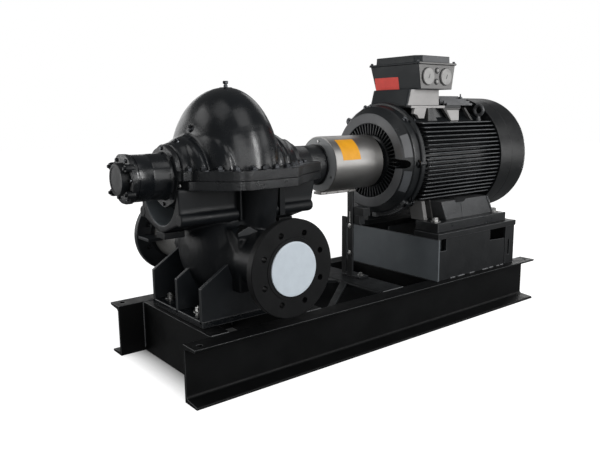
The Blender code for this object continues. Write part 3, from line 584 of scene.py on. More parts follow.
def welds():
    """Weld beads around the pedestal, the cross members and the rails."""
    bm = bmesh.new()
    front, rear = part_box("pedestal_front_plate"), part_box("pedestal_rear_plate")
    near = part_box("pedestal_near_plate")
    floor = BEAM_TOP + 0.001
    runs = []
    for side in (-1, 1):
        face = side * abs(near[0].y)
        runs.append(((front[1].x + 0.001, face, floor), (front[1].x + 0.001, face,
                                                         near[1].z - 0.052), 0.0018))
        for start, length in ((0.31, 0.03), (0.356, 0.044), (0.432, 0.034), (0.52, 0.04), (0.566, 0.03),
                              (0.618, 0.022), (0.648, 0.02)):
            runs.append(((start, face, floor), (start + length, face, floor), 0.0032))
    for name in ("left_cross_channel", "motor_rear_channel", "motor_front_channel", "pump_cross_channel"):
        low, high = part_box(name)
        for level in (low.y, high.y):
            runs.append(((low.x - 0.0005, level, 0.012), (low.x - 0.0005, level, high.z - 0.002), 0.0024))
            runs.append(((low.x + 0.004, level, high.z), (high.x - 0.004, level, high.z), 0.0016))
    low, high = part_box("middle_cross_beam")
    for level in (low.y, high.y):
        runs.append(((low.x + 0.01, level, high.z), (high.x - 0.01, level, high.z), 0.0018))
    for index, (start, stop, radius) in enumerate(runs):
        weld_bead(bm, start, stop, radius, index)
    # The beads get the lighter grey: a painted highlight
    piece("weld_beads", bm, PAD_SHEEN, smooth=60)
    bm = bmesh.new()
    weld_bead(bm, (front[0].x - 0.001, front[0].y, floor), (front[0].x - 0.001, front[1].y, floor), 0.0022, 7)
    piece("front_weld", bm, SHEET_PAINT, smooth=60)


def pedestal():
    """Plates, rails and end posts under the motor."""
    for name in ("pedestal_front_plate", "pedestal_rear_plate", "near_motor_rail", "far_motor_rail"):
        bm = add_box(bmesh.new(), *zip(*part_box(name)))
        # The front plate gets the lighter paint: painted light on its left-facing face
        look = LIT_FACE_PAINT if name == "pedestal_front_plate" else SHEET_PAINT
        piece(name + "_sheet", bm, look, (name,), bevel=0.0016, segments=3, edge_highlight=True)
    for side in ("near", "far"):
        name = f"pedestal_{side}_plate"
        low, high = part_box(name)
        top = high.z
        notch = 0.566 if side == "near" else 0.675
        outline = [(low.x, low.z), (high.x, low.z), (high.x, top - 0.05), (notch, top - 0.046), (notch, top)]
        if side == "near":
            outline += [(0.28, top), (0.28, top - 0.049), (0.248, top - 0.049), (0.248, top)]
        outline.append((low.x, top))
        bm = add_prism(bmesh.new(), outline, "Y", low.y, high.y)
        piece(name + "_sheet", bm, SHEET_PAINT, (name,), bevel=0.0013, edge_highlight=True)
        name = f"pedestal_{side}_post"
        low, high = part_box(name)
        bm = add_box(bmesh.new(), *zip(low, high))
        middle = (low.x + high.x) / 2 - 0.006
        slot = arc((middle, 0.224), 0.0055, 180, 360, 8) + arc((middle, 0.282), 0.0055, 0, 180, 8)
        cut = add_prism(bmesh.new(), slot, "Y", low.y - 0.01, high.y + 0.01)
        piece(name + "_bar", bm, SHEET_PAINT, (name,), bevel=0.0012, cutters=(tool(cut),), edge_highlight=True)
    front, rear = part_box("pedestal_front_plate"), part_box("pedestal_rear_plate")
    bm = add_box(bmesh.new(), (front[1].x + 0.001, rear[0].x - 0.001), (-0.003, 0.003),
                 (BEAM_TOP + 0.004, 0.362))
    piece("pedestal_stiffener", bm, SHEET_PAINT, bevel=0.001)


# Pump
def ring_x(bm, x, level, far, near, tall, sides=56):
    """A ring of vertices across X: its reach to the far side, to the near side and upwards."""
    turns = [tau * index / sides for index in range(sides)]
    return [bm.verts.new((x, (far if cos(turn) > 0 else near) * cos(turn), level + tall * sin(turn)))
            for turn in turns]


def add_ellipsoid(bm, x, level, reach, rings=28, power=1.0):
    """A closed ellipsoid, squarer in section as the power falls."""
    loops = []
    for i in range(1, rings):
        polar = pi * i / rings
        wide, tall = (half * sin(polar) ** power for half in reach[1:])
        loops.append(ring_x(bm, x + reach[0] * cos(polar), level, wide, wide, tall))
    return skin(bm, loops)


def cut_below(made, level):
    """Trim a mesh flat at a level and close it."""
    bm = bmesh.new()
    bm.from_mesh(made.data)
    geometry = bm.verts[:] + bm.edges[:] + bm.faces[:]
    bmesh.ops.bisect_plane(bm, geom=geometry, plane_co=(0, 0, level), plane_no=(0, 0, 1), clear_inner=True)
    rim = [edge for edge in bm.edges if edge.is_boundary]
    bmesh.ops.holes_fill(bm, edges=rim, sides=0)
    bm.to_mesh(made.data)
    bm.free()


def add_dome(bm, rings=40, sides=72):
    """The volute's dome: fuller on its far side, squarer towards the outboard end."""
    height = DOME_HIGH.z + 0.001 - SHAFT_Z
    loops = []
    for i in range(1, rings):
        polar = pi * i / rings
        outboard = cos(polar) < 0
        along = (0.158 if outboard else 0.1545) * cos(polar)
        size = sin(polar) ** (0.68 if outboard else 0.98)
        loops.append(ring_x(bm, PUMP_X + along, SHAFT_Z, 0.241 * size, 0.208 * size, height * size, sides))
    return skin(bm, loops)


def upper_casing():
    """Domed volute with two suction lobes on each side, fused like a casting."""
    bm = add_dome(bmesh.new())
    for x, reach in ((-0.1, (0.072, 0.19, 0.172)), (-0.17, (0.043, 0.15, 0.119)),
                     (0.096, (0.062, 0.182, 0.156)), (0.155, (0.045, 0.14, 0.124))):
        add_ellipsoid(bm, PUMP_X + x, SHAFT_Z, reach)
    for side in (-1, 1):
        neck = [(PUMP_X + side * reach, radius) for reach, radius in ((0.05, 0.14), (0.176, 0.121),
                                                                      (0.194, 0.111), (0.206, 0.105),
                                                                      (NECK_END, 0.101))]
        skin(bm, [ring_x(bm, x, SHAFT_Z, *(radius,) * 3) for x, radius in neck[::side]])
    made = piece("upper_casing_shell", bm, CAST, ("upper_casing",), merge=False)
    cast_body(made, 0.004, 5)
    cut_below(made, SHAFT_Z + 0.002)
    bm = bmesh.new()
    for x, z in ((-0.684, 0.789), (-0.737, 0.748)):
        outward = (x - PUMP_X, 0, z - SHAFT_Z)
        add_turned(bm, [(0.013, -0.012), (0.012, 0.002), (0.009, 0.003)], facing((x, -0.02, z), outward), 24)
        add_hex_bolt(bm, facing((x - 0.0015, -0.02, z + 0.003), outward), 0.011, 0.007, washer=False)
    piece("casing_plugs", bm, DULL_BOLT, smooth=30)


def split_plan():
    """Plan of the joint flange: dips beside each outboard corner, a longer taper at the drive end."""
    end = BRACKET_END - 0.01
    drive = [(0.298, -0.128), (0.286, -0.14), (0.15, -0.212), (0.118, -0.24), (0.104, -0.254),
             (0.088, -0.265)]
    outboard = [(-0.088, -0.265), (-0.104, -0.254), (-0.116, -0.256), (-0.132, -0.243), (0.03 - end, -0.15),
                (-end, -0.132)]
    near = [(PUMP_X + x, y) for x, y in drive + outboard]
    return near + [(x, -y) for x, y in reversed(near)]


def split_flanges():
    """Upper and lower joint flanges, cut back around the bearing housings."""
    seam = SHAFT_Z - SPLIT_SEAM
    plan = rounded(split_plan(), 0.009, 5)
    for name, low, high in (("upper_joint_flange", seam + 0.0004, SHAFT_Z + SPLIT_TOP),
                            ("lower_joint_flange", SHAFT_Z - SPLIT_BOTTOM, seam - 0.0004)):
        bm = add_prism(bmesh.new(), plan, "Z", low, high)
        cutters = []
        for side in (-1, 1):
            near, far = sorted((PUMP_X + side * NECK_END, PUMP_X + side * 0.31))
            cut = add_box(bmesh.new(), (near, far), (-0.1, 0.1), (SHAFT_Z - 0.1, SHAFT_Z + 0.1))
            cutters.append(tool(cut))
        if low > seam:
            corner = [(-0.3, -0.3), (-0.202, -0.3), (-0.202, -0.157), (-0.216, -0.124), (-0.3, -0.124)]
        else:
            corner = [(-0.3, -0.3), (-0.226, -0.3), (-0.226, -0.1), (-0.3, -0.1)]
        cut = add_prism(bmesh.new(), [(PUMP_X + x, y) for x, y in corner], "Z", low - 0.01, high + 0.01)
        cutters.append(tool(cut))
        piece(name, bm, ROUGH_CAST, bevel=0.0016, cutters=cutters)
    bm = add_box(bmesh.new(), (PUMP_X - BRACKET_END + 0.014, PUMP_X - 0.2), (-0.138, -0.112),
                 (seam + 0.0006, SHAFT_Z + SPLIT_TOP - 0.002))
    piece("joint_flange_step", bm, CAST, bevel=0.002, segments=3)


def bracket_section(hollow):
    """End view of a bearing bracket, with or without its trough."""
    top = SHAFT_Z - SPLIT_BOTTOM + 0.004
    bar_y, bar_radius, keel = 0.124, 0.0185, 0.466
    outer = [(bar_y + 0.004, top), (bar_y + 0.004, BAR_Z + 0.03)]
    outer += arc((bar_y, BAR_Z), bar_radius, 70, -112, 16)
    outer += [(0.034, keel + 0.007), (0.022, keel + 0.001), (0.012, keel)]
    whole = outer + [(-y, z) for y, z in reversed(outer)]
    if not hollow:
        return whole
    width = bar_y - 0.012
    depth = top - 0.49
    turns = [radians(degrees) for degrees in range(180, 361, 7)]
    return whole + [(width * cos(turn), top + depth * sin(turn)) for turn in turns]


def lower_casing():
    """Body under the shaft with nozzle roots and bearing brackets, fused like a casting."""
    bm = bmesh.new()
    column = []
    for level, shift, half_x, half_y in ((SHAFT_Z - 0.01, 0.026, 0.08, 0.214), (0.59, 0.026, 0.078, 0.209),
                                         (0.54, 0.026, 0.078, 0.2), (0.48, 0.022, 0.08, 0.19),
                                         (0.42, 0.008, 0.098, 0.178), (0.34, 0.0, 0.104, 0.16)):
        ring = []
        for i in range(56):
            angle = tau * (i + 0.5) / 56
            across, along = (copysign(abs(size) ** 0.8, size) for size in (cos(angle), sin(angle)))
            ring.append(bm.verts.new((PUMP_X + shift + half_x * across, half_y * along, level)))
        column.append(ring)
    skin(bm, column)
    add_ellipsoid(bm, PUMP_X, 0.395, (0.17, 0.178, 0.182), power=0.92)
    for side in (-1, 1):
        wall = PUMP_X + side * 0.165
        end = PUMP_X + side * BRACKET_END
        low, high = sorted((PUMP_X + side * 0.05, wall))
        add_prism(bm, bracket_section(False), "X", low, high)
        low, high = sorted((wall - side * 0.004, end))
        add_prism(bm, bracket_section(True), "X", low, high)
        if side > 0:
            for y in ((-0.128, -0.104), (0.104, 0.128)):
                add_prism(bm, [(end - 0.01, 0.54), (end + 0.004, 0.54), (end + 0.018, SHAFT_Z - SPLIT_BOTTOM),
                               (end - 0.01, SHAFT_Z - SPLIT_BOTTOM)], "Y", *y)
        low, high = sorted((PUMP_X + side * 0.16, PUMP_X + side * NECK_END))
        add_prism(bm, arc((0, SHAFT_Z - 0.001), 0.098, 180, 360, 24), "X", low, high)
    for side in (-1, 1):
        face = abs(CASE_LOW.y) if side < 0 else CASE_HIGH.y
        back = face - FLANGE_THICKNESS
        profile = [(0.128, 0.04), (0.12, 0.12), (0.101, 0.152), (0.09, 0.176), (0.088, back - 0.02),
                   (0.094, back - 0.008), (0.104, back + 0.004)]
        add_turned(bm, profile, facing((NOZZLE_X, 0, NOZZLE_Z), (0, side, 0)), 56)
    column = [(-0.1, 0.28), (-0.2, 0.28), (-0.2, 0.452), (-0.165, 0.48), (-0.1, 0.48)]
    add_prism(bm, column, "X", -0.634, -0.572)
    made = piece("lower_casing_body", bm, BODY_CAST, ("lower_casing",), merge=False)
    cast_body(made, 0.0042, 4)
    # The trough floor gets the lighter paint: painted light where the lamps do not reach
    recolour(made, LIT_FACE_PAINT, lambda face: face.center.x < PUMP_X - 0.17 and abs(face.center.y) < 0.113
             and face.center.z > 0.485 and face.normal.z > 0.2)
    bm = add_prism(bmesh.new(), [(-0.6285, 0.4705), (-0.5885, 0.4875), (-0.5425, 0.4615), (-0.5655, 0.4325),
                                 (-0.5805, 0.3925), (-0.6335, 0.4125)], "Y", -0.19, -0.12)
    boss = piece("nozzle_boss", bm, NOZZLE_CAST, bevel=0.0022, segments=3)
    # The boss's near face gets the edge paint: a painted highlight
    recolour(boss, EDGE_HIGHLIGHT, lambda face: face.normal.y < -0.9)
    bm = bmesh.new()
    for side in (-1, 1):
        tip = PUMP_X + side * (BRACKET_END + (0.002 if side < 0 else -0.008))
        root = PUMP_X + side * (0.042 if side < 0 else 0.086)
        for across in (-0.1255, 0.1255):
            add_turned(bm, [(0.014, root), (0.0192, root + side * 0.005), (0.0196, tip - side * 0.003),
                            (0.017, tip)], facing((0, across, BAR_Z), (1, 0, 0)), 32)
        add_box(bm, sorted((tip, PUMP_X + side * 0.186)), (-0.03, 0.03), (0.4475, 0.4685))
        web = (-0.052, -0.044) if side < 0 else (0.103, 0.125)
        add_box(bm, (PUMP_X + web[0], PUMP_X + web[1]), (-0.15, -0.1), (0.5, SHAFT_Z - SPLIT_BOTTOM))
    piece("bracket_bars", bm, BODY_CAST, bevel=0.003, segments=3)


def nozzle_flanges():
    """Drilled round flanges with a raised face."""
    for name, side in (("near_nozzle_flange", -1), ("far_nozzle_flange", 1)):
        face = abs(CASE_LOW.y) if side < 0 else CASE_HIGH.y
        face -= 0.002
        back = face - FLANGE_THICKNESS
        profile = [(0.07, back - 0.006), (0.092, back - 0.006), (0.104, back), (FLANGE_RADIUS - 0.002, back),
                   (FLANGE_RADIUS, back + 0.002), (FLANGE_RADIUS, face - 0.002),
                   (FLANGE_RADIUS - 0.002, face), (0.0945, face), (0.0938, face + 0.002),
                   (0.07, face + 0.002)]
        bm = add_turned(bmesh.new(), profile, facing((NOZZLE_X, 0, NOZZLE_Z), (0, side, 0)), 128)
        spots = []
        for index in range(8):
            turn = tau * (index + 0.5) / 8
            spots.append((NOZZLE_X + BOLT_CIRCLE * cos(turn), NOZZLE_Z + BOLT_CIRCLE * sin(turn)))
        low, high = sorted((side * (back - 0.02), side * (face + 0.02)))
        if side < 0:
            cutters = (drill(spots, "Y", low, high, BOLT_HOLE),)
        else:
            middle = (back + face) / 2
            cutters = (drill(spots, "Y", low, middle - 0.0015, BOLT_HOLE),
                       drill(spots, "Y", middle + 0.0015, high, BOLT_HOLE))
        piece(name, bm, NOZZLE_CAST if side < 0 else WEB_CAST, cutters=cutters)
    bm = bmesh.new()
    face = CASE_HIGH.y - 0.002 - FLANGE_THICKNESS
    for middle in (NOZZLE_X - 0.113, NOZZLE_X + 0.113):
        add_box(bm, (middle - 0.033, middle + 0.033), (face - 0.09, face + 0.001),
                (NOZZLE_Z - 0.006, NOZZLE_Z + 0.006))
    piece("far_flange_ribs", bm, WEB_CAST, bevel=0.002)
    # A skin over the far neck carries the pale grey: painted sheen
    bm = bmesh.new()
    add_turned(bm, [(0.089, 0.19), (0.0895, 0.196), (0.0895, face - 0.026), (0.088, face - 0.02)],
               facing((NOZZLE_X, 0, NOZZLE_Z), (0, 1, 0)), 96)
    piece("far_neck_sheen_skin", bm, NECK_SHEEN_GREY, smooth=40)
    for name, side in (("near_flange_cover", -1), ("far_flange_cover", 1)):
        low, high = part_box(name)
        radius = (high.x - low.x) / 2
        start = min(abs(low.y), abs(high.y))
        end = max(abs(low.y), abs(high.y))
        bm = add_turned(bmesh.new(), [(radius, start), (radius, end - 0.0012),
                                      (radius - 0.0004, end - 0.0004), (radius - 0.0014, end),
                                      (radius - 0.006, end), (0.002, end)],
                        facing((NOZZLE_X, 0, NOZZLE_Z), (0, side, 0)), 128)
        piece(name + "_disc", bm, DISC_WHITE, (name,))


def pump_feet():
    """Foot plate with three upright webs and rounded edges."""
    sole = BEAM_TOP + GAP
    half = 0.208
    near, far = -0.16, 0.185
    bm = add_box(bmesh.new(), (PUMP_X - half, PUMP_X + half), (near, far), (sole, sole + 0.022))
    piece("foot_plate", bm, CAST, bevel=0.003, segments=3, edge_highlight=True)
    outline = [(half, sole + 0.012), (half, 0.306), (0.08, 0.388), (0.06, 0.415)]
    outline = [(PUMP_X + x, z) for x, z in outline + [(-x, z) for x, z in reversed(outline)]]
    bm = bmesh.new()
    for middle in (near + 0.01, 0.006, far - 0.012):
        add_prism(bm, outline, "Y", middle - 0.007, middle + 0.007)
    piece("foot_webs", bm, WEB_CAST, bevel=0.0014, edge_highlight=True)


def bearing_end(word, side, housing, cover):
    """Bearing housing, its scalloped flange, its lobed cover and the end cap."""
    low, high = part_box(housing)
    near = PUMP_X + side * (NECK_END + GAP)
    end = high.x if side > 0 else low.x
    length = abs(end - near)
    place = on_shaft(near, side)
    bm = add_turned(bmesh.new(), [(SHAFT_HOLE, 0), (0.0975, 0), (0.0985, 0.001), (0.0985, 0.015),
                                  (0.0965, 0.017), (0.076, 0.0172), (SHAFT_HOLE, 0.0172)], place, 144,
                    reach=lobed_rim(8, 0.0045))
    piece(word + "_housing_flange", bm, ROUGH_CAST, (housing,), smooth=40)
    wide = BARREL_RADIUS
    bm = add_turned(bmesh.new(), [(SHAFT_HOLE, 0.016), (wide + 0.005, 0.016), (wide + 0.0025, 0.02),
                                  (wide + 0.0005, 0.026), (wide, length * 0.55),
                                  (wide - 0.0007, length * 0.56), (wide - 0.0007, length * 0.6),
                                  (wide, length * 0.61), (wide, length - 0.01),
                                  (wide - 0.002, length - 0.009), (wide - 0.002, length),
                                  (SHAFT_HOLE, length)], place, 96)
    piece(word + "_housing_barrel", bm, ROUGH_CAST if side > 0 else CAST, smooth=40)
    low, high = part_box(cover)
    start = low.x if side > 0 else high.x
    reach = high.x - low.x
    place = on_shaft(start, side)
    first = min(0.014, reach * 0.45)
    rim = BARREL_RADIUS + 0.0055
    bm = add_turned(bmesh.new(), [(0.03, 0), (rim, 0), (rim, first - 0.001), (rim - 0.0013, first),
                                  (0.053, first + 0.0005), (0.03, first + 0.0005)], place, 144,
                    reach=lobed_rim(6, 0.003))
    piece(word + "_bearing_cover_rim", bm, ROUGH_CAST, (cover,), smooth=40)
    bm = bmesh.new()
    if side < 0:
        for y, z in ((0.06, 0.036), (0.061, -0.044), (-0.056, 0.036), (-0.056, -0.042)):
            add_turned(bm, [(0.0125, 0.004), (0.012, reach - 0.014), (0.01, reach - 0.008)],
                       facing((start, y, SHAFT_Z + z), (side, 0, 0)), 20)
            add_hex_bolt(bm, facing((start - reach + 0.008, y, SHAFT_Z + z), (side, 0, 0)), 0.01, 0.0065,
                         washer=False, turn=y * 900)
        add_turned(bm, [(0.03, first), (0.05, first), (0.0492, reach - 0.003), (0.0475, reach - 0.0005),
                        (0.04, reach), (0.039, reach - 0.0015), (0.01, reach - 0.0015)], place, 96)
    else:
        add_turned(bm, [(0.03, first), (0.05, first), (0.049, reach - 0.001), (0.048, reach),
                        (0.031, reach)], place, 96)
    piece(word + "_bearing_cap", bm, BODY_CAST, smooth=40)


def lobed_rim(count, depth):
    """Scallops on the outer rim only; smaller radii stay round."""
    def reach(radius, angle):
        if radius < 0.06:
            return radius
        swell = (0.5 + 0.5 * cos(count * angle)) ** 0.7
        return radius - depth * (1 - swell)
    return reach


def pump_fasteners():
    """Joint flange bolts, cover screws, foot bolts and small plugs."""
    dark = bmesh.new()
    bright = bmesh.new()
    top = SHAFT_Z + SPLIT_TOP
    spots = []
    for side in (-1, 1):
        for x, y in ((-0.219, 0.13), (-0.181, 0.158), (-0.143, 0.186), (-0.105, 0.216), (-0.064, 0.24),
                     (-0.021, 0.245), (0.021, 0.245), (0.064, 0.24), (0.105, 0.216), (0.143, 0.186),
                     (0.181, 0.158), (0.219, 0.13)):
            spots.append((PUMP_X + x, side * y))
    for index, (x, y) in enumerate(spots):
        add_hex_bolt(dark, facing((x, y, top), (0, 0, 1)), 0.021, 0.009, turn=index * 17.0, nut_stud=0.003)
    for side in (-1, 1):
        for index, place in enumerate(bolt_circle(PUMP_X + side * (NECK_END + 0.0178), 0.087, 8)):
            add_hex_bolt(dark, facing(place, (side, 0, 0)), 0.011, 0.005, washer=False, turn=index * 23.0)
    for cover, side in (("outboard_bearing_cover", -1), ("drive_end_bearing_cover", 1)):
        low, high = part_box(cover)
        start = low.x if side > 0 else high.x
        face = start + side * (min(0.014, (high.x - low.x) * 0.45) + 0.0002)
        for place in bolt_circle(face, 0.0655, 6):
            add_turned(dark, [(0.006, 0), (0.006, 0.005), (0.0052, 0.0058), (0.0028, 0.0058),
                              (0.0026, 0.003)], facing(place, (side, 0, 0)), 20)
    sole = BEAM_TOP + 0.0223
    for x in (-1, 1):
        for y in (-0.05, 0.15):
            add_hex_bolt(bright, facing((PUMP_X + x * 0.158, y, sole), (0, 0, 1)), 0.02, 0.012, turn=20.0 * x,
                         nut_stud=0.004)
    add_hex_bolt(dark, facing((-0.612, -0.185, 0.318), (-0.3, -1, 0.2)), 0.013, 0.009, washer=False)
    add_hex_bolt(bright, facing((PUMP_X - BRACKET_END + 0.0135, -0.118, 0.622), (-1, 0, 0)), 0.009, 0.006,
                 washer=False)
    piece("casing_bolts", dark, DULL_BOLT, smooth=30)
    piece("foot_bolts", bright, ZINC, smooth=30)
    low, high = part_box("vent_plug")
    bm = bmesh.new()
    place = facing((PUMP_X, 0, low.z), (0, 0, 1))
    tall = high.z - low.z
    add_turned(bm, [(0.007, 0), (0.007, tall * 0.34), (0.0052, tall * 0.38), (0.0052, tall * 0.5),
                    (0.0085, tall * 0.56), (0.0085, tall * 0.62)], place, 24)
    add_turned(bm, [(0.01, tall * 0.6), (0.01, tall * 0.93), (0.0086, tall)], place, 6)
    piece("vent_screw", bm, DULL_BOLT, ("vent_plug",), smooth=30)
    bm = add_turned(bmesh.new(), [(0.024, -0.014), (0.0215, -0.003), (0.0205, 0), (0.01, 0)], place, 40)
    piece("vent_boss", bm, CAST, smooth=40)


# Coupling and guard
def coupling():
    """Two hubs with a flexible element between them, hidden by the guard."""
    low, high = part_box("shaft_coupling")
    start = low.x
    profile = [(0.004, 0), (0.0295, 0), (0.0295, 0.03), (0.055, 0.0305), (0.0575, 0.033), (0.0575, 0.088),
               (0.0715, 0.0895), (0.0715, 0.119), (0.064, 0.12), (0.064, 0.13), (0.0715, 0.131),
               (0.0715, 0.158), (0.0575, 0.16), (0.0575, 0.218), (0.055, 0.2205), (0.0295, 0.221),
               (0.0295, high.x - start), (0.004, high.x - start)]
    bm = add_turned(bmesh.new(), profile, on_shaft(start), 72)
    piece("coupling_hubs", bm, OILED, ("shaft_coupling",))


def guard():
    """Rolled sheet guard with end plates, strip, patch and screws."""
    start, end = GUARD_LOW.x, GUARD_HIGH.x
    length = end - start
    wall = 0.003
    inner = GUARD_RADIUS - wall
    bm = bmesh.new()
    add_turned(bm, [(inner, 0), (GUARD_RADIUS - 0.0006, 0), (GUARD_RADIUS, 0.0006),
                    (GUARD_RADIUS, length - 0.0006), (GUARD_RADIUS - 0.0006, length), (inner, length)],
               on_shaft(start), 160, closed=True)
    piece("guard_sheet", bm, GUARD_STEEL, ("coupling_guard",))
    # The end plates get the grey paint instead of steel: painted reflection
    for name in ("guard_pump_plate", "guard_motor_plate"):
        low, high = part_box(name)
        radius = (high.y - low.y) / 2
        bm = add_turned(bmesh.new(), [(SHAFT_HOLE, 0), (radius, 0), (radius, high.x - low.x),
                                      (SHAFT_HOLE, high.x - low.x)], on_shaft(low.x), 128, closed=True)
        piece(name + "_disc", bm, PLATE_SHEEN_GREY, (name,))
    low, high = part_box("guard_strip")
    bm = add_box(bmesh.new(), *zip(low, high))
    piece("guard_strip_bar", bm, GUARD_STEEL, ("guard_strip",), bevel=0.0008)
    screws = bmesh.new()
    for x in (low.x + 0.03, low.x + 0.085, low.x + 0.14):
        add_hex_bolt(screws, facing((x, low.y - 0.0004, (low.z + high.z) / 2), (0, -1, 0)), 0.007, 0.003,
                     washer=False)
    for place in bolt_circle(start + 0.0009, 0.085, 3, 90):
        add_hex_bolt(screws, facing(place, (-1, 0, 0)), 0.008, 0.0035, washer=False)
    piece("guard_screws", screws, ZINC, smooth=30)
    section = [(start + x, GUARD_RADIUS + lift) for x, lift in ((0.034, 0.0001), (0.122, 0.0001),
                                                                (0.122, 0.0005), (0.034, 0.0005))]
    bm = add_strip(bmesh.new(), [[round_shaft(x, reach, 10 + 51 * i / 24) for i in range(25)]
                                 for x, reach in section])
    piece("guard_patch", bm, ORANGE, smooth=30)


def guard_support():
    """Narrow post with a shorter one beside it, a stepped block, a foot and bolts."""
    low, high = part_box("guard_upright")
    front = low.x
    bm = bmesh.new()
    for x, y, z in (((0, 0.008), (-0.004, 0.0265), (low.z, high.z)),
                    ((0.002, 0.008), (0.0364, 0.0609), (low.z, 0.4225)),
                    ((0.001, 0.05), (-0.046, 0.0609), (low.z, low.z + 0.008)),
                    ((0.004, 0.038), (-0.0635, -0.002), (0.434, 0.466)),
                    ((0.006, 0.034), (-0.039, 0.004), (0.398, 0.436))):
        add_box(bm, [front + step for step in x], y, z)
    piece("guard_upright_bar", bm, SHEET_PAINT, ("guard_upright",), bevel=0.0012, edge_highlight=True)
    bm = bmesh.new()
    for level in (0.278, 0.388):
        add_hex_bolt(bm, facing((front - 0.0002, 0.011, level), (-1, 0, 0)), 0.01, 0.005)
    add_hex_bolt(bm, facing((front + 0.03, -0.022, low.z + 0.0083), (0, 0, 1)), 0.014, 0.008)
    add_box(bm, (front - 0.0006, front + 0.001), (0.0085, 0.0135), (0.404, 0.446))
    piece("guard_upright_bolts", bm, ZINC, smooth=30)


# Motor
def fin_outline(index):
    """End view of one fin pair's right half: its root depth, its tip and its level."""
    level = (index - (FIN_COUNT - 1) / 2) * FIN_PITCH
    root = sqrt(CORE_RADIUS ** 2 - level ** 2) - 0.006
    tip = sqrt(FIN_RADIUS ** 2 - level ** 2) - FIN_TIP
    crest = [(tip + across, level + up) for across, up in arc((0, 0), FIN_TIP, -90, 90, 6)]
    return [(root, level - 0.004), (root + 0.01, level - 0.0031), *crest, (root + 0.01, level + 0.0031),
            (root, level + 0.004)]


def from_shaft(face):
    """A face's distance from the shaft's axis."""
    return hypot(face.center.y, face.center.z - SHAFT_Z)


def motor_frame():
    """Round core with level fins on both sides and a narrow front ring."""
    start = FIN_LOW.x
    place = on_shaft(0)
    bm = add_turned(bmesh.new(), [(MOTOR_INNER, start + 0.002), (CORE_RADIUS, start + 0.004),
                                  (CORE_RADIUS, FIN_HIGH.x), (MOTOR_INNER, FIN_HIGH.x)], place, 144)
    piece("motor_core", bm, MOTOR_CAST, ("motor_frame",))
    bm = bmesh.new()
    chance = random.Random(3)
    for index in range(FIN_COUNT):
        outline = fin_outline(index)
        lead = start + 0.01 + 0.012 * abs(index - 9) / 9 + chance.uniform(0, 0.004)
        for side in (-1, 1):
            loops = []
            for x, pull in ((lead, 0.016), (lead + 0.004, 0.004), (lead + 0.01, 0.0), (FIN_HIGH.x, 0.0)):
                loops.append([bm.verts.new(Vector((x, side * (y - pull if i > 1 and i < 9 else y),
                                                   SHAFT_Z + z))) for i, (y, z) in enumerate(outline)])
            skin(bm, loops)
    fins = piece("motor_fins", bm, MOTOR_PAINT, smooth=50)
    # Fin crests get the lighter paint: a painted highlight
    recolour(fins, FIN_CREST_HIGHLIGHT, lambda face: from_shaft(face) > FIN_RADIUS - 0.0042
             and abs(face.normal.y) > 0.25)
    bm = add_turned(bmesh.new(), [(MOTOR_INNER, start), (MOTOR_RIM, start), (MOTOR_RIM, start + 0.003),
                                  (0.225, start + 0.0035), (0.224, start + 0.008), (0.216, start + 0.012),
                                  (MOTOR_INNER, start + 0.013)], place, 144)
    piece("frame_front_ring", bm, MOTOR_CAST, smooth=30)


def add_radial_block(bm, angle, span, rise, halves):
    """A block that follows a radius: reaches at both ends, x at both ends and widths."""
    radial = Vector((0, -cos(angle), sin(angle)))
    tangent = Vector((0, sin(angle), cos(angle)))
    corners = []
    for pair in rise:
        for reach, x, half in zip(span, pair, halves):
            for sign in (-1, 1):
                corners.append(Vector((x, 0, SHAFT_Z)) + radial * reach + tangent * half * sign)
    return add_block(bm, corners)


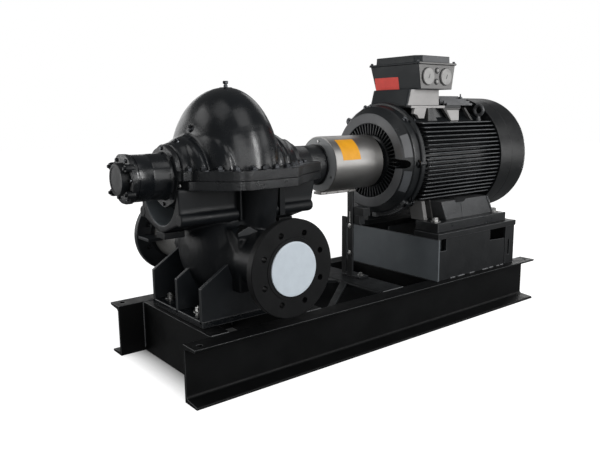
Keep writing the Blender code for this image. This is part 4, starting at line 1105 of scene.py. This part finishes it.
def end_shield():
    """Drive end shield with a flat annulus, radial ribs, a pocket, a pad and bolted lugs."""
    place = on_shaft(0)
    face_x = SHIELD_LOW.x
    back = SHIELD_HIGH.x
    profile = [(0.042, 0.15), (0.104, 0.15), (0.1445, 0.15), (0.145, face_x + 0.006),
               (0.1465, face_x + 0.0012), (0.149, face_x), (0.182, face_x), (0.185, face_x + 0.0012),
               (0.1878, face_x + 0.0045), (0.2065, 0.1465), (0.208, 0.1478), (0.2122, 0.15), (0.2132, 0.153),
               (0.2165, 0.176), (0.2235, 0.1772), (0.2262, 0.1796), (MOTOR_RIM, 0.185), (MOTOR_RIM, back),
               (0.042, back)]
    bm = add_turned(bmesh.new(), profile, place, 192, closed=True)
    pocket = [(-y, z) for y, z in arc((0.186, SHAFT_Z - 0.004), 0.0165, -78, 78, 14)]
    cut = add_prism(bmesh.new(), [(-0.138, SHAFT_Z - 0.0235), *pocket, (-0.138, SHAFT_Z + 0.015)], "X",
                    0.09, 0.178)
    shield = piece("end_shield_casting", bm, MOTOR_CAST, ("drive_end_shield",), smooth=24,
                   cutters=(tool(cut),))
    # The flat annulus gets the lighter grey: painted sheen
    recolour(shield, PAD_SHEEN, lambda face: face.normal.x < -0.9 and 0.147 < from_shaft(face) < 0.186)
    bm = bmesh.new()
    for index in range(54):
        add_radial_block(bm, tau * index / 54, (0.103, 0.1462), ((face_x + 0.005,) * 2, (0.1505,) * 2),
                         (0.0019, 0.0026))
    piece("end_shield_ribs", bm, MOTOR_CAST, bevel=0.0007, segments=1, edge_highlight=True)
    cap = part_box("shield_bearing_cap")[0].x
    bm = add_turned(bmesh.new(), [(SHAFT_HOLE, cap), (0.09, cap), (0.094, cap + 0.001), (0.103, cap + 0.007),
                                  (0.104, 0.1497), (SHAFT_HOLE, 0.1497)], place, 128)
    piece("bearing_cap_disc", bm, MOTOR_PAINT, ("shield_bearing_cap",), smooth=30)
    bm = bmesh.new()
    for index in range(17):
        add_radial_block(bm, radians(-50 - index * 3.0), (0.206, 0.2262), ((0.15, 0.165), (0.17, 0.186)),
                         (0.0016, 0.0018))
    for angle, reach, half in ((-102, 0.205, 0.0055), (-90.5, 0.22, 0.01), (-47, 0.214, 0.01)):
        add_radial_block(bm, radians(angle), (reach - 0.014, reach + 0.01), ((0.152,) * 2, (0.186,) * 2),
                         (half, half))
    # The lower ribs get the grey copy of the black paint: painted light
    piece("end_shield_lower_ribs", bm, FOOT_LIT_GREY, bevel=0.0006, segments=1, edge_highlight=True)
    # The pads get lighter greys: painted sheen
    for name, start, span, look in (("end_shield_pad", 6, 26, PAD_SHEEN),
                                    ("end_shield_low_pad", -34, 25, LOW_PAD_SHEEN)):
        section = [(face_x + 0.0065, 0.19), (0.1462, 0.2062)]
        rails = [(x + 0.002, reach) for x, reach in section] + [(x - 0.0012, reach)
                                                                for x, reach in section[::-1]]
        pad = add_strip(bmesh.new(), [[round_shaft(x, reach, start + span * i / 12) for i in range(13)]
                                      for x, reach in rails])
        piece(name, pad, look, bevel=0.0006)
    lugs = bmesh.new()
    bolts = bmesh.new()
    for angle, reach in ((-1, 0.216), (48, 0.212), (-48, 0.218), (138, 0.226), (162, 0.228), (198, 0.226),
                         (228, 0.218)):
        centre = round_shaft(0, reach, angle)
        add_turned(lugs, [(0.011, 0.166), (0.0125, 0.168), (0.0125, back + 0.012), (0.011, back + 0.014)],
                   facing(centre, (1, 0, 0)), 28)
        add_hex_bolt(bolts, facing(centre + Vector((0.166, 0, 0)), (-1, 0, 0)), 0.016, 0.008, turn=angle)
        add_hex_bolt(bolts, facing(centre + Vector((back + 0.014, 0, 0)), (1, 0, 0)), 0.016, 0.009,
                     turn=angle + 12, nut_stud=0.01)
    for angle, reach in ((112, 0.222), (104, 0.216), (57, 0.205), (-57, 0.21), (-40, 0.222)):
        add_hex_bolt(bolts, facing(round_shaft(0.178, reach, angle), (-1, 0, 0)), 0.012, 0.006, turn=angle)
    piece("shield_lugs", lugs, MOTOR_CAST, smooth=30)
    piece("shield_bolts", bolts, DULL_BOLT, smooth=30)


def fan_cover():
    """Pressed sheet cover with a bend line, rolled rear edge and a ring grille."""
    start = FAN_LOW.x
    radius = (FAN_HIGH.y - FAN_LOW.y) / 2 + 0.001
    length = FAN_HIGH.x - start
    place = on_shaft(start)
    bend = 0.078
    profile = [(MOTOR_INNER, 0.0), (radius - 0.0012, 0), (radius, 0.0012), (radius, bend - 0.0015),
               (radius - 0.0011, bend - 0.0005), (radius - 0.0011, bend + 0.0005),
               (radius - 0.0002, bend + 0.0015), (radius - 0.0006, length - 0.038)]
    profile += [(radius - 0.03 + 0.0294 * across, length - 0.038 + 0.038 * along)
                for across, along in arc((0, 0), 1, 10, 80, 7)]
    profile += [(radius - 0.032, length), (0.19, length), (0.188, length - 0.004),
                (MOTOR_INNER, length - 0.005)]
    bm = add_turned(bmesh.new(), profile, place, 192)
    piece("fan_cover_shell", bm, FAN_PAINT, ("fan_cover",), smooth=30)
    bm = bmesh.new()
    level = length - 0.0035
    for ring in range(9):
        middle = 0.034 + ring * 0.018
        add_turned(bm, arc((middle, level), 0.0026, 0, 315, 7), place, 96, closed=True)
    add_turned(bm, [(0.03, length - 0.006), (0.03, length - 0.001), (0.028, length)], place, 48)
    for index in range(4):
        angle = radians(45 + 90 * index)
        radial = Vector((0, cos(angle), sin(angle)))
        middle = Vector((FAN_HIGH.x - 0.0045, 0, SHAFT_Z)) + radial * 0.028
        add_turned(bm, [(0.0028, 0), (0.0028, 0.16)], facing(middle, radial), 10)
    piece("fan_cover_grille", bm, MOTOR_PAINT, smooth=40)


def motor_feet():
    """Cast feet with slanted ribs, a ribbed cheek, bolts and washers."""
    bolts = bmesh.new()
    for name in ("near_motor_foot", "far_motor_foot"):
        low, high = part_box(name)
        side = -1 if low.y < 0 else 1
        outer = max(abs(low.y), abs(high.y))
        bm = add_box(bmesh.new(), (low.x, high.x + FOOT_REACH), sided(side, 0.135, outer), (low.z, FOOT_TOP))
        piece(name + "_plate", bm, MOTOR_CAST, (name,), bevel=0.0022, segments=3, edge_highlight=True)
        bm = bmesh.new()
        sole = FOOT_TOP - 0.002
        cheek = [(0.346, sole), (0.662, sole), (0.618, CHEEK_TOP), (0.475, CHEEK_TOP), (0.458, 0.468),
                 (0.41, 0.468), (0.396, CHEEK_TOP), (0.31, CHEEK_TOP)]
        add_prism(bm, cheek, "Y", *sided(side, 0.095, 0.209))
        for foot, head, wide, level, reach in ((0.452, 0.438, 0.005, 0.466, 0.2105),
                                               (0.346, 0.31, 0.01, CHEEK_TOP, 0.212),
                                               (0.652, 0.608, 0.01, CHEEK_TOP, 0.212)):
            rim = [(foot, FOOT_TOP), (foot + wide, FOOT_TOP), (head + wide, level), (head, level)]
            add_prism(bm, rim, "Y", *sided(side, 0.2, reach))
        if side > 0:
            add_box(bm, (0.196, 0.262), (0.13, 0.175), (FOOT_TOP, 0.468))
        # The foot block gets the grey copy of the black paint: painted light
        piece(name + "_block", bm, FOOT_LIT_GREY, bevel=0.0014)
        # The two slanted ribs get pale greys: painted reflection and sheen
        for word, look, heads, feet in (("first", REFLECTION_GREY, (0.256, 0.276), (0.296, 0.274)),
                                        ("second", RIB_SHEEN, (0.304, 0.311), (0.333, 0.325))):
            outline = [(x, 0.482) for x in heads] + [(x, sole) for x in feet]
            bm = add_prism(bmesh.new(), outline, "Y", *sided(side, 0.09, 0.158))
            piece(f"{name}_{word}_rib", bm, look, bevel=0.002, segments=3)
        for x in (0.288, 0.672):
            add_hex_bolt(bolts, facing((x, side * 0.205, FOOT_TOP + 0.0002), (0, 0, 1)), 0.022, 0.013,
                         turn=x * 90)
    piece("motor_foot_bolts", bolts, ZINC, smooth=30)


def tapered(bm, low_ring, high_ring, low, high):
    """A solid between two level outlines."""
    return skin(bm, [[bm.verts.new((x, y, z)) for x, y in ring]
                     for ring, z in ((low_ring, low), (high_ring, high))])


def corner_box(x, y, radius=0.006):
    """A level rectangle with rounded corners."""
    return rounded([(x[0], y[0]), (x[1], y[0]), (x[1], y[1]), (x[0], y[1])], radius, 4)


def chamfered(x, y, cut):
    """A level rectangle with straight cut corners."""
    return [(x[0] + cut, y[0]), (x[1] - cut, y[0]), (x[1], y[0] + cut), (x[1], y[1] - cut),
            (x[1] - cut, y[1]), (x[0] + cut, y[1]), (x[0], y[1] - cut), (x[0], y[0] + cut)]


def terminal_box():
    """Tapered box with a stepped lid, entry plugs and a blank patch."""
    low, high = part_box("terminal_box")
    pull = 0.016
    bm = tapered(bmesh.new(), corner_box((low.x + pull, high.x - pull), (low.y, high.y - pull), 0.003),
                 corner_box((low.x, high.x), (low.y, high.y), 0.003), low.z, high.z)
    piece("terminal_box_body", bm, BOX_PAINT, ("terminal_box",), bevel=0.001)
    low_lid, high_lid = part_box("terminal_box_lid")
    rim = low_lid.z + 0.008
    bm = bmesh.new()
    tapered(bm, corner_box((low_lid.x, high_lid.x), (low_lid.y, high_lid.y), 0.008),
            corner_box((low_lid.x + 0.001, high_lid.x - 0.001), (low_lid.y + 0.001, high_lid.y - 0.001),
                       0.008), low_lid.z, rim)
    rings = [chamfered((low_lid.x + inset, high_lid.x - inset), (low_lid.y + inset, high_lid.y - inset),
                       0.023) for inset in (0.011, 0.0125)]
    tapered(bm, *rings, rim - 0.002, high_lid.z)
    piece("terminal_lid", bm, BOX_PAINT, ("terminal_box_lid",), bevel=0.0018, segments=3)
    screws = bmesh.new()
    for x in (low_lid.x + 0.01, high_lid.x - 0.01):
        for y in (low_lid.y + 0.01, high_lid.y - 0.01):
            add_hex_bolt(screws, facing((x, y, rim), (0, 0, 1)), 0.009, 0.006, turn=15)
    piece("lid_screws", screws, DULL_BOLT, smooth=30)
    face = low.y
    # A pale plate over the near face: painted reflection
    bm = bmesh.new()
    add_prism(bm, [(low.x + pull + 0.0015, low.z + 0.002), (high.x - pull - 0.002, low.z + 0.002),
                   (high.x - 0.003, high.z - 0.001), (low.x + 0.002, high.z - 0.001)], "Y", face - 0.0006,
              face + 0.004)
    add_box(bm, (low_lid.x + 0.006, high_lid.x - 0.004), (low_lid.y - 0.0004, low_lid.y + 0.002),
            (low_lid.z + 0.001, rim - 0.001))
    piece("box_face_reflection_plate", bm, REFLECTION_GREY, bevel=0.0004, segments=1)
    # A thin panel on the lid's side carries the lighter grey: painted sheen
    bm = add_box(bmesh.new(), (low_lid.x + 0.036, high_lid.x - 0.036),
                 (low_lid.y + 0.0112, low_lid.y + 0.014), (rim + 0.001, high_lid.z - 0.002))
    piece("lid_side_sheen_panel", bm, PAD_SHEEN, bevel=0.0004, segments=1)
    wells = bmesh.new()
    plug = bmesh.new()
    slots = bmesh.new()
    for node in ("left_cable_plug", "right_cable_plug"):
        cap_low, cap_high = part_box(node)
        middle = (cap_low + cap_high) / 2
        place = facing((middle.x, face - 0.0008, middle.z), (0, -1, 0))
        add_turned(wells, [(0.0345, 0), (0.0345, 0.0014), (0.0325, 0.0016)], place, 64)
        add_turned(plug, [(0.0318, 0.0004), (0.0318, 0.0066), (0.0306, 0.008), (0.02, 0.0086),
                          (0.0006, 0.0088)], facing((middle.x + 0.0018, face - 0.0008, middle.z),
                                                    (0, -1, 0)), 64)
        tilted = [(middle.x + 0.002 + x * 0.92 + z * 0.38, middle.z - x * 0.38 + z * 0.92)
                  for x, z in ((-0.0016, -0.009), (0.0016, -0.009), (0.0016, 0.009), (-0.0016, 0.009))]
        add_prism(slots, rounded(tilted, 0.0014, 4), "Y", face - 0.0098, face - 0.0086)
    for x, z in ((0.361, 0.992), (0.3585, 0.949)):
        place = facing((x, face - 0.0008, z), (0, -1, 0))
        add_turned(wells, [(0.0122, 0), (0.0122, 0.0016), (0.01, 0.0016)], place, 40)
        add_turned(plug, [(0.0072, 0.0004), (0.0072, 0.0052), (0.005, 0.0072), (0.0006, 0.0078)], place, 40)
    piece("plug_wells", wells, PLUG_BLACK)
    piece("plug_slots", slots, PLUG_BLACK, smooth=30)
    piece("entry_plugs", plug, PLUG_GREY, ("left_cable_plug", "right_cable_plug"))
    corners = []
    for z in (0.9215, 0.97):
        x = low.x + pull * (high.z - z) / (high.z - low.z)
        corners += [(x - thick, y, z) for thick in (0.0001, 0.0006) for y in (-0.0185, 0.1125)]
    piece("box_patch", add_block(bmesh.new(), corners), RED, smooth=30)


def terminal_neck():
    """Flared neck, saddle plate and the webs under it."""
    low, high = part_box("terminal_neck")
    bm = tapered(bmesh.new(), corner_box((low.x + 0.001, high.x - 0.001), (low.y, high.y), 0.01),
                 corner_box((0.238, 0.4135), (low.y, high.y), 0.01), low.z, high.z)
    piece("terminal_neck_casting", bm, BOX_PAINT, ("terminal_neck",), smooth=40)
    # A pale sheet on the neck's near side: painted reflection
    bm = add_prism(bmesh.new(), [(0.229, low.z + 0.001), (0.415, low.z + 0.001), (0.413, high.z - 0.001),
                                 (0.246, high.z - 0.001)], "Y", low.y - 0.0012, low.y + 0.004)
    piece("neck_side_reflection_panel", bm, PALE_REFLECTION, bevel=0.001)
    low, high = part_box("terminal_pad")
    bm = add_box(bmesh.new(), (low.x, high.x), (-0.124, 0.124), (high.z - 0.01, high.z))
    piece("saddle_plate", bm, MOTOR_CAST, ("terminal_pad",), bevel=0.002)
    light = bmesh.new()
    grey = bmesh.new()
    dark = bmesh.new()
    top = high.z - 0.009
    for side in (-1, 1):
        face = sided(side, 0.11, 0.1245)
        add_prism(light, [(0.243, top), (0.312, top), (0.299, 0.806), (0.27, 0.806), (0.258, 0.82),
                          (0.237, 0.825)], "Y", *face)
        add_prism(light, [(0.436, 0.838), (0.517, 0.838), (0.517, SADDLE_FOOT),
                          (0.47, SADDLE_FOOT)], "Y", *face)
        add_prism(grey, [(0.411, top), (0.53, top), (0.517, 0.8385), (0.4355, 0.8385), (0.47, 0.7955),
                         (0.463, 0.7955)], "Y", *face)
        for bm, heads, feet, reach in ((grey, (0.32, 0.327), (0.331, 0.324), face),
                                       (grey, (0.548, 0.561), (0.615, 0.601), face),
                                       (dark, (0.329, 0.338), (0.386, 0.332), sided(side, 0.1, 0.122))):
            add_prism(bm, [(x, top) for x in heads] + [(x, SADDLE_FOOT) for x in feet], "Y", *reach)
        add_box(dark, (low.x + 0.03, high.x - 0.006), sided(side, 0.05, 0.104), (0.8, top))
    # The legs, ribs and edge get pale greys: painted reflection and sheen
    piece("saddle_legs", light, PALE_REFLECTION, bevel=0.0012)
    piece("saddle_ribs", grey, RIB_SHEEN, bevel=0.001)
    piece("saddle_core", dark, MOTOR_PAINT, bevel=0.001)
    bm = add_box(bmesh.new(), (low.x + 0.001, 0.424), (-0.125, -0.1235), (high.z - 0.0095, high.z - 0.0005))
    piece("saddle_edge", bm, PALE_REFLECTION, bevel=0.0004, segments=1)


def top_fins():
    """Upright fins behind the terminal box, stepping down, with a stud and the lifting eye."""
    low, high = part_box("rear_top_plate")
    bm = add_box(bmesh.new(), (low.x + 0.004, high.x - 0.004), (-0.104, 0.104), (low.z, low.z + 0.009))
    piece("top_fin_plate", bm, MOTOR_PAINT, ("rear_top_plate",), bevel=0.002)
    bm = bmesh.new()
    for y, level in ((0.0, 0.898), (0.022, 0.8975), (0.044, 0.893), (0.066, 0.885), (0.088, 0.876),
                     (0.1045, 0.867)):
        for middle in {y, -y}:
            outline = [(middle - 0.003, low.z), (middle + 0.003, low.z), (middle + 0.0024, level),
                       (middle - 0.0024, level)]
            end = high.x - 0.3 * max(0.0, abs(middle) - 0.06)
            add_prism(bm, rounded(outline, 0.0018, 3), "X", low.x + 0.1 * (0.09 - abs(middle)), end)
    # The fins get the lighter grey: painted sheen on their lit sides
    piece("top_fins", bm, PAD_SHEEN, smooth=35)
    stud = [(0.004, 0.862), (0.004, 0.886), (0.0075, 0.887), (0.0075, 0.893), (0.003, 0.895), (0.003, 0.904),
            (0.0015, 0.906)]
    bm = add_turned(bmesh.new(), stud, facing((0.612, -0.056, 0), (0, 0, 1)), 20)
    piece("top_stud", bm, DULL_BOLT, smooth=30)
    low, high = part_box("lifting_eye")
    centre = Vector(((low.x + high.x) / 2, (low.y + high.y) / 2, high.z - 0.0278))
    bm = bmesh.new()
    add_turned(bm, arc((0.0205, 0), 0.007, 0, 337.5, 15), facing(centre, (1, 0, 0)), 56, closed=True)
    add_turned(bm, [(0.0105, low.z), (0.0105, low.z + 0.006), (0.008, low.z + 0.01),
                    (0.008, centre.z - 0.018)], facing((centre.x, centre.y, 0), (0, 0, 1)), 32)
    # The eye gets the grey copy of the black paint: a painted highlight
    piece("lifting_eye_ring", bm, FOOT_LIT_GREY, ("lifting_eye",), smooth=40)


# Studio
def worked(tree, kind, operation, *values):
    """The outputs of a maths node whose inputs are sockets or constants."""
    made = tree.nodes.new(kind)
    made.operation = operation
    for socket, value in zip(made.inputs, values):
        if isinstance(value, bpy.types.NodeSocket):
            tree.links.new(value, socket)
        else:
            socket.default_value = value
    return made.outputs


def studio():
    """Pale floor with painted shade near the set and a painted shadow under the frame, a white surround and
    softboxes on a dome.
    """
    bm = bmesh.new()
    bm.faces.new([bm.verts.new((x * FLOOR_HALF, y * FLOOR_HALF, -0.0005))
                  for x, y in ((-1, -1), (1, -1), (1, 1), (-1, 1))])
    floor = mesh_object("studio_floor", bm)
    floor.data.materials.append(FLOOR_PAINT)
    tree = FLOOR_PAINT.node_tree
    where = tree.nodes.new("ShaderNodeTexCoord").outputs["Object"]
    reach = worked(tree, "ShaderNodeVectorMath", "LENGTH", where)["Value"]
    # Painted shade: the floor's glow dims towards the set
    near_shadow = ranged(tree, reach, 0.84, 1.0, 1.2, 3.0)
    # Painted shadow: the glow dims inside the frame's outline
    span = worked(tree, "ShaderNodeVectorMath", "MULTIPLY", where,
                  (1 / SHADE_HALF[0], 1 / SHADE_HALF[1], 0.0))[0]
    parts = tree.nodes.new("ShaderNodeSeparateXYZ")
    tree.links.new(worked(tree, "ShaderNodeVectorMath", "ABSOLUTE", span)[0], parts.inputs[0])
    widest = worked(tree, "ShaderNodeMath", "MAXIMUM", *parts.outputs[:2])[0]
    shade = ranged(tree, widest, 0.02, 1.0, 0.92, 1.04)
    tree.links.new(worked(tree, "ShaderNodeMath", "MULTIPLY", near_shadow, shade)[0],
                   FLOOR_SHADER.inputs["Emission Strength"])
    floor.visible_glossy = False
    floor.visible_diffuse = False
    world = bpy.data.worlds.new("studio_surround")
    bpy.context.scene.world = world
    world.use_nodes = True
    tree = world.node_tree
    dim = tree.nodes["Background"]
    dim.inputs["Color"].default_value = (0.97, 0.985, 1.0, 1.0)
    dim.inputs["Strength"].default_value = SURROUND_LEVEL
    white = tree.nodes.new("ShaderNodeBackground")
    white.inputs["Strength"].default_value = 1.0
    white.inputs["Color"].default_value = (1.0, 1.0, 1.0, 1.0)
    mix = tree.nodes.new("ShaderNodeMixShader")
    tree.links.new(tree.nodes.new("ShaderNodeLightPath").outputs["Is Camera Ray"], mix.inputs[0])
    tree.links.new(dim.outputs[0], mix.inputs[1])
    tree.links.new(white.outputs[0], mix.inputs[2])
    tree.links.new(mix.outputs[0], tree.nodes["World Output"].inputs["Surface"])
    bpy.context.scene.view_settings.view_transform = "Standard"
    for name, azimuth, climb, width, height, power in SOFTBOXES:
        turn, rise = radians(azimuth), radians(climb)
        aim = Vector((sin(turn) * cos(rise), -cos(turn) * cos(rise), sin(rise)))
        place = Vector(STUDIO_MIDDLE) + STUDIO_REACH * aim
        soft_light(name, place, STUDIO_MIDDLE, width, height, power)


def soft_light(name, place, target, width, height, power):
    """A rectangular light aimed at a point."""
    lamp = bpy.data.lights.new(name, "AREA")
    lamp.shape = "RECTANGLE"
    lamp.size = width
    lamp.size_y = height
    lamp.energy = power
    made = bpy.data.objects.new(name, lamp)
    bpy.context.scene.collection.objects.link(made)
    made.visible_camera = False
    aim = Vector(target) - Vector(place)
    made.matrix_world = Matrix.Translation(place) @ aim.to_track_quat("-Z", "Y").to_matrix().to_4x4()


def camera():
    """The photograph's viewpoint."""
    lens = bpy.data.cameras.new("camera")
    lens.lens = CAMERA_LENS
    lens.sensor_width = SENSOR_WIDTH
    made = bpy.data.objects.new("camera", lens)
    bpy.context.scene.collection.objects.link(made)
    yaw, pitch, roll = (radians(angle) for angle in (CAMERA_YAW, CAMERA_PITCH, CAMERA_ROLL))
    ahead = Vector((sin(yaw) * cos(pitch), cos(yaw) * cos(pitch), -sin(pitch)))
    level = Vector((cos(yaw), -sin(yaw), 0))
    upward = level.cross(ahead)
    right = cos(roll) * level + sin(roll) * upward
    top = -sin(roll) * level + cos(roll) * upward
    matrix = Matrix((right, top, -ahead)).transposed().to_4x4()
    matrix.translation = Vector(CAMERA_PLACE)
    made.matrix_world = matrix
    bpy.context.scene.camera = made


camera()
studio()
long_beams()
cross_members()
pedestal()
welds()
upper_casing()
split_flanges()
lower_casing()
nozzle_flanges()
pump_feet()
bearing_end("outboard", -1, "outboard_bearing_housing", "outboard_bearing_cover")
bearing_end("drive", 1, "drive_end_bearing_housing", "drive_end_bearing_cover")
pump_fasteners()
coupling()
guard()
guard_support()
motor_frame()
end_shield()
fan_cover()
motor_feet()
terminal_box()
terminal_neck()
top_fins()
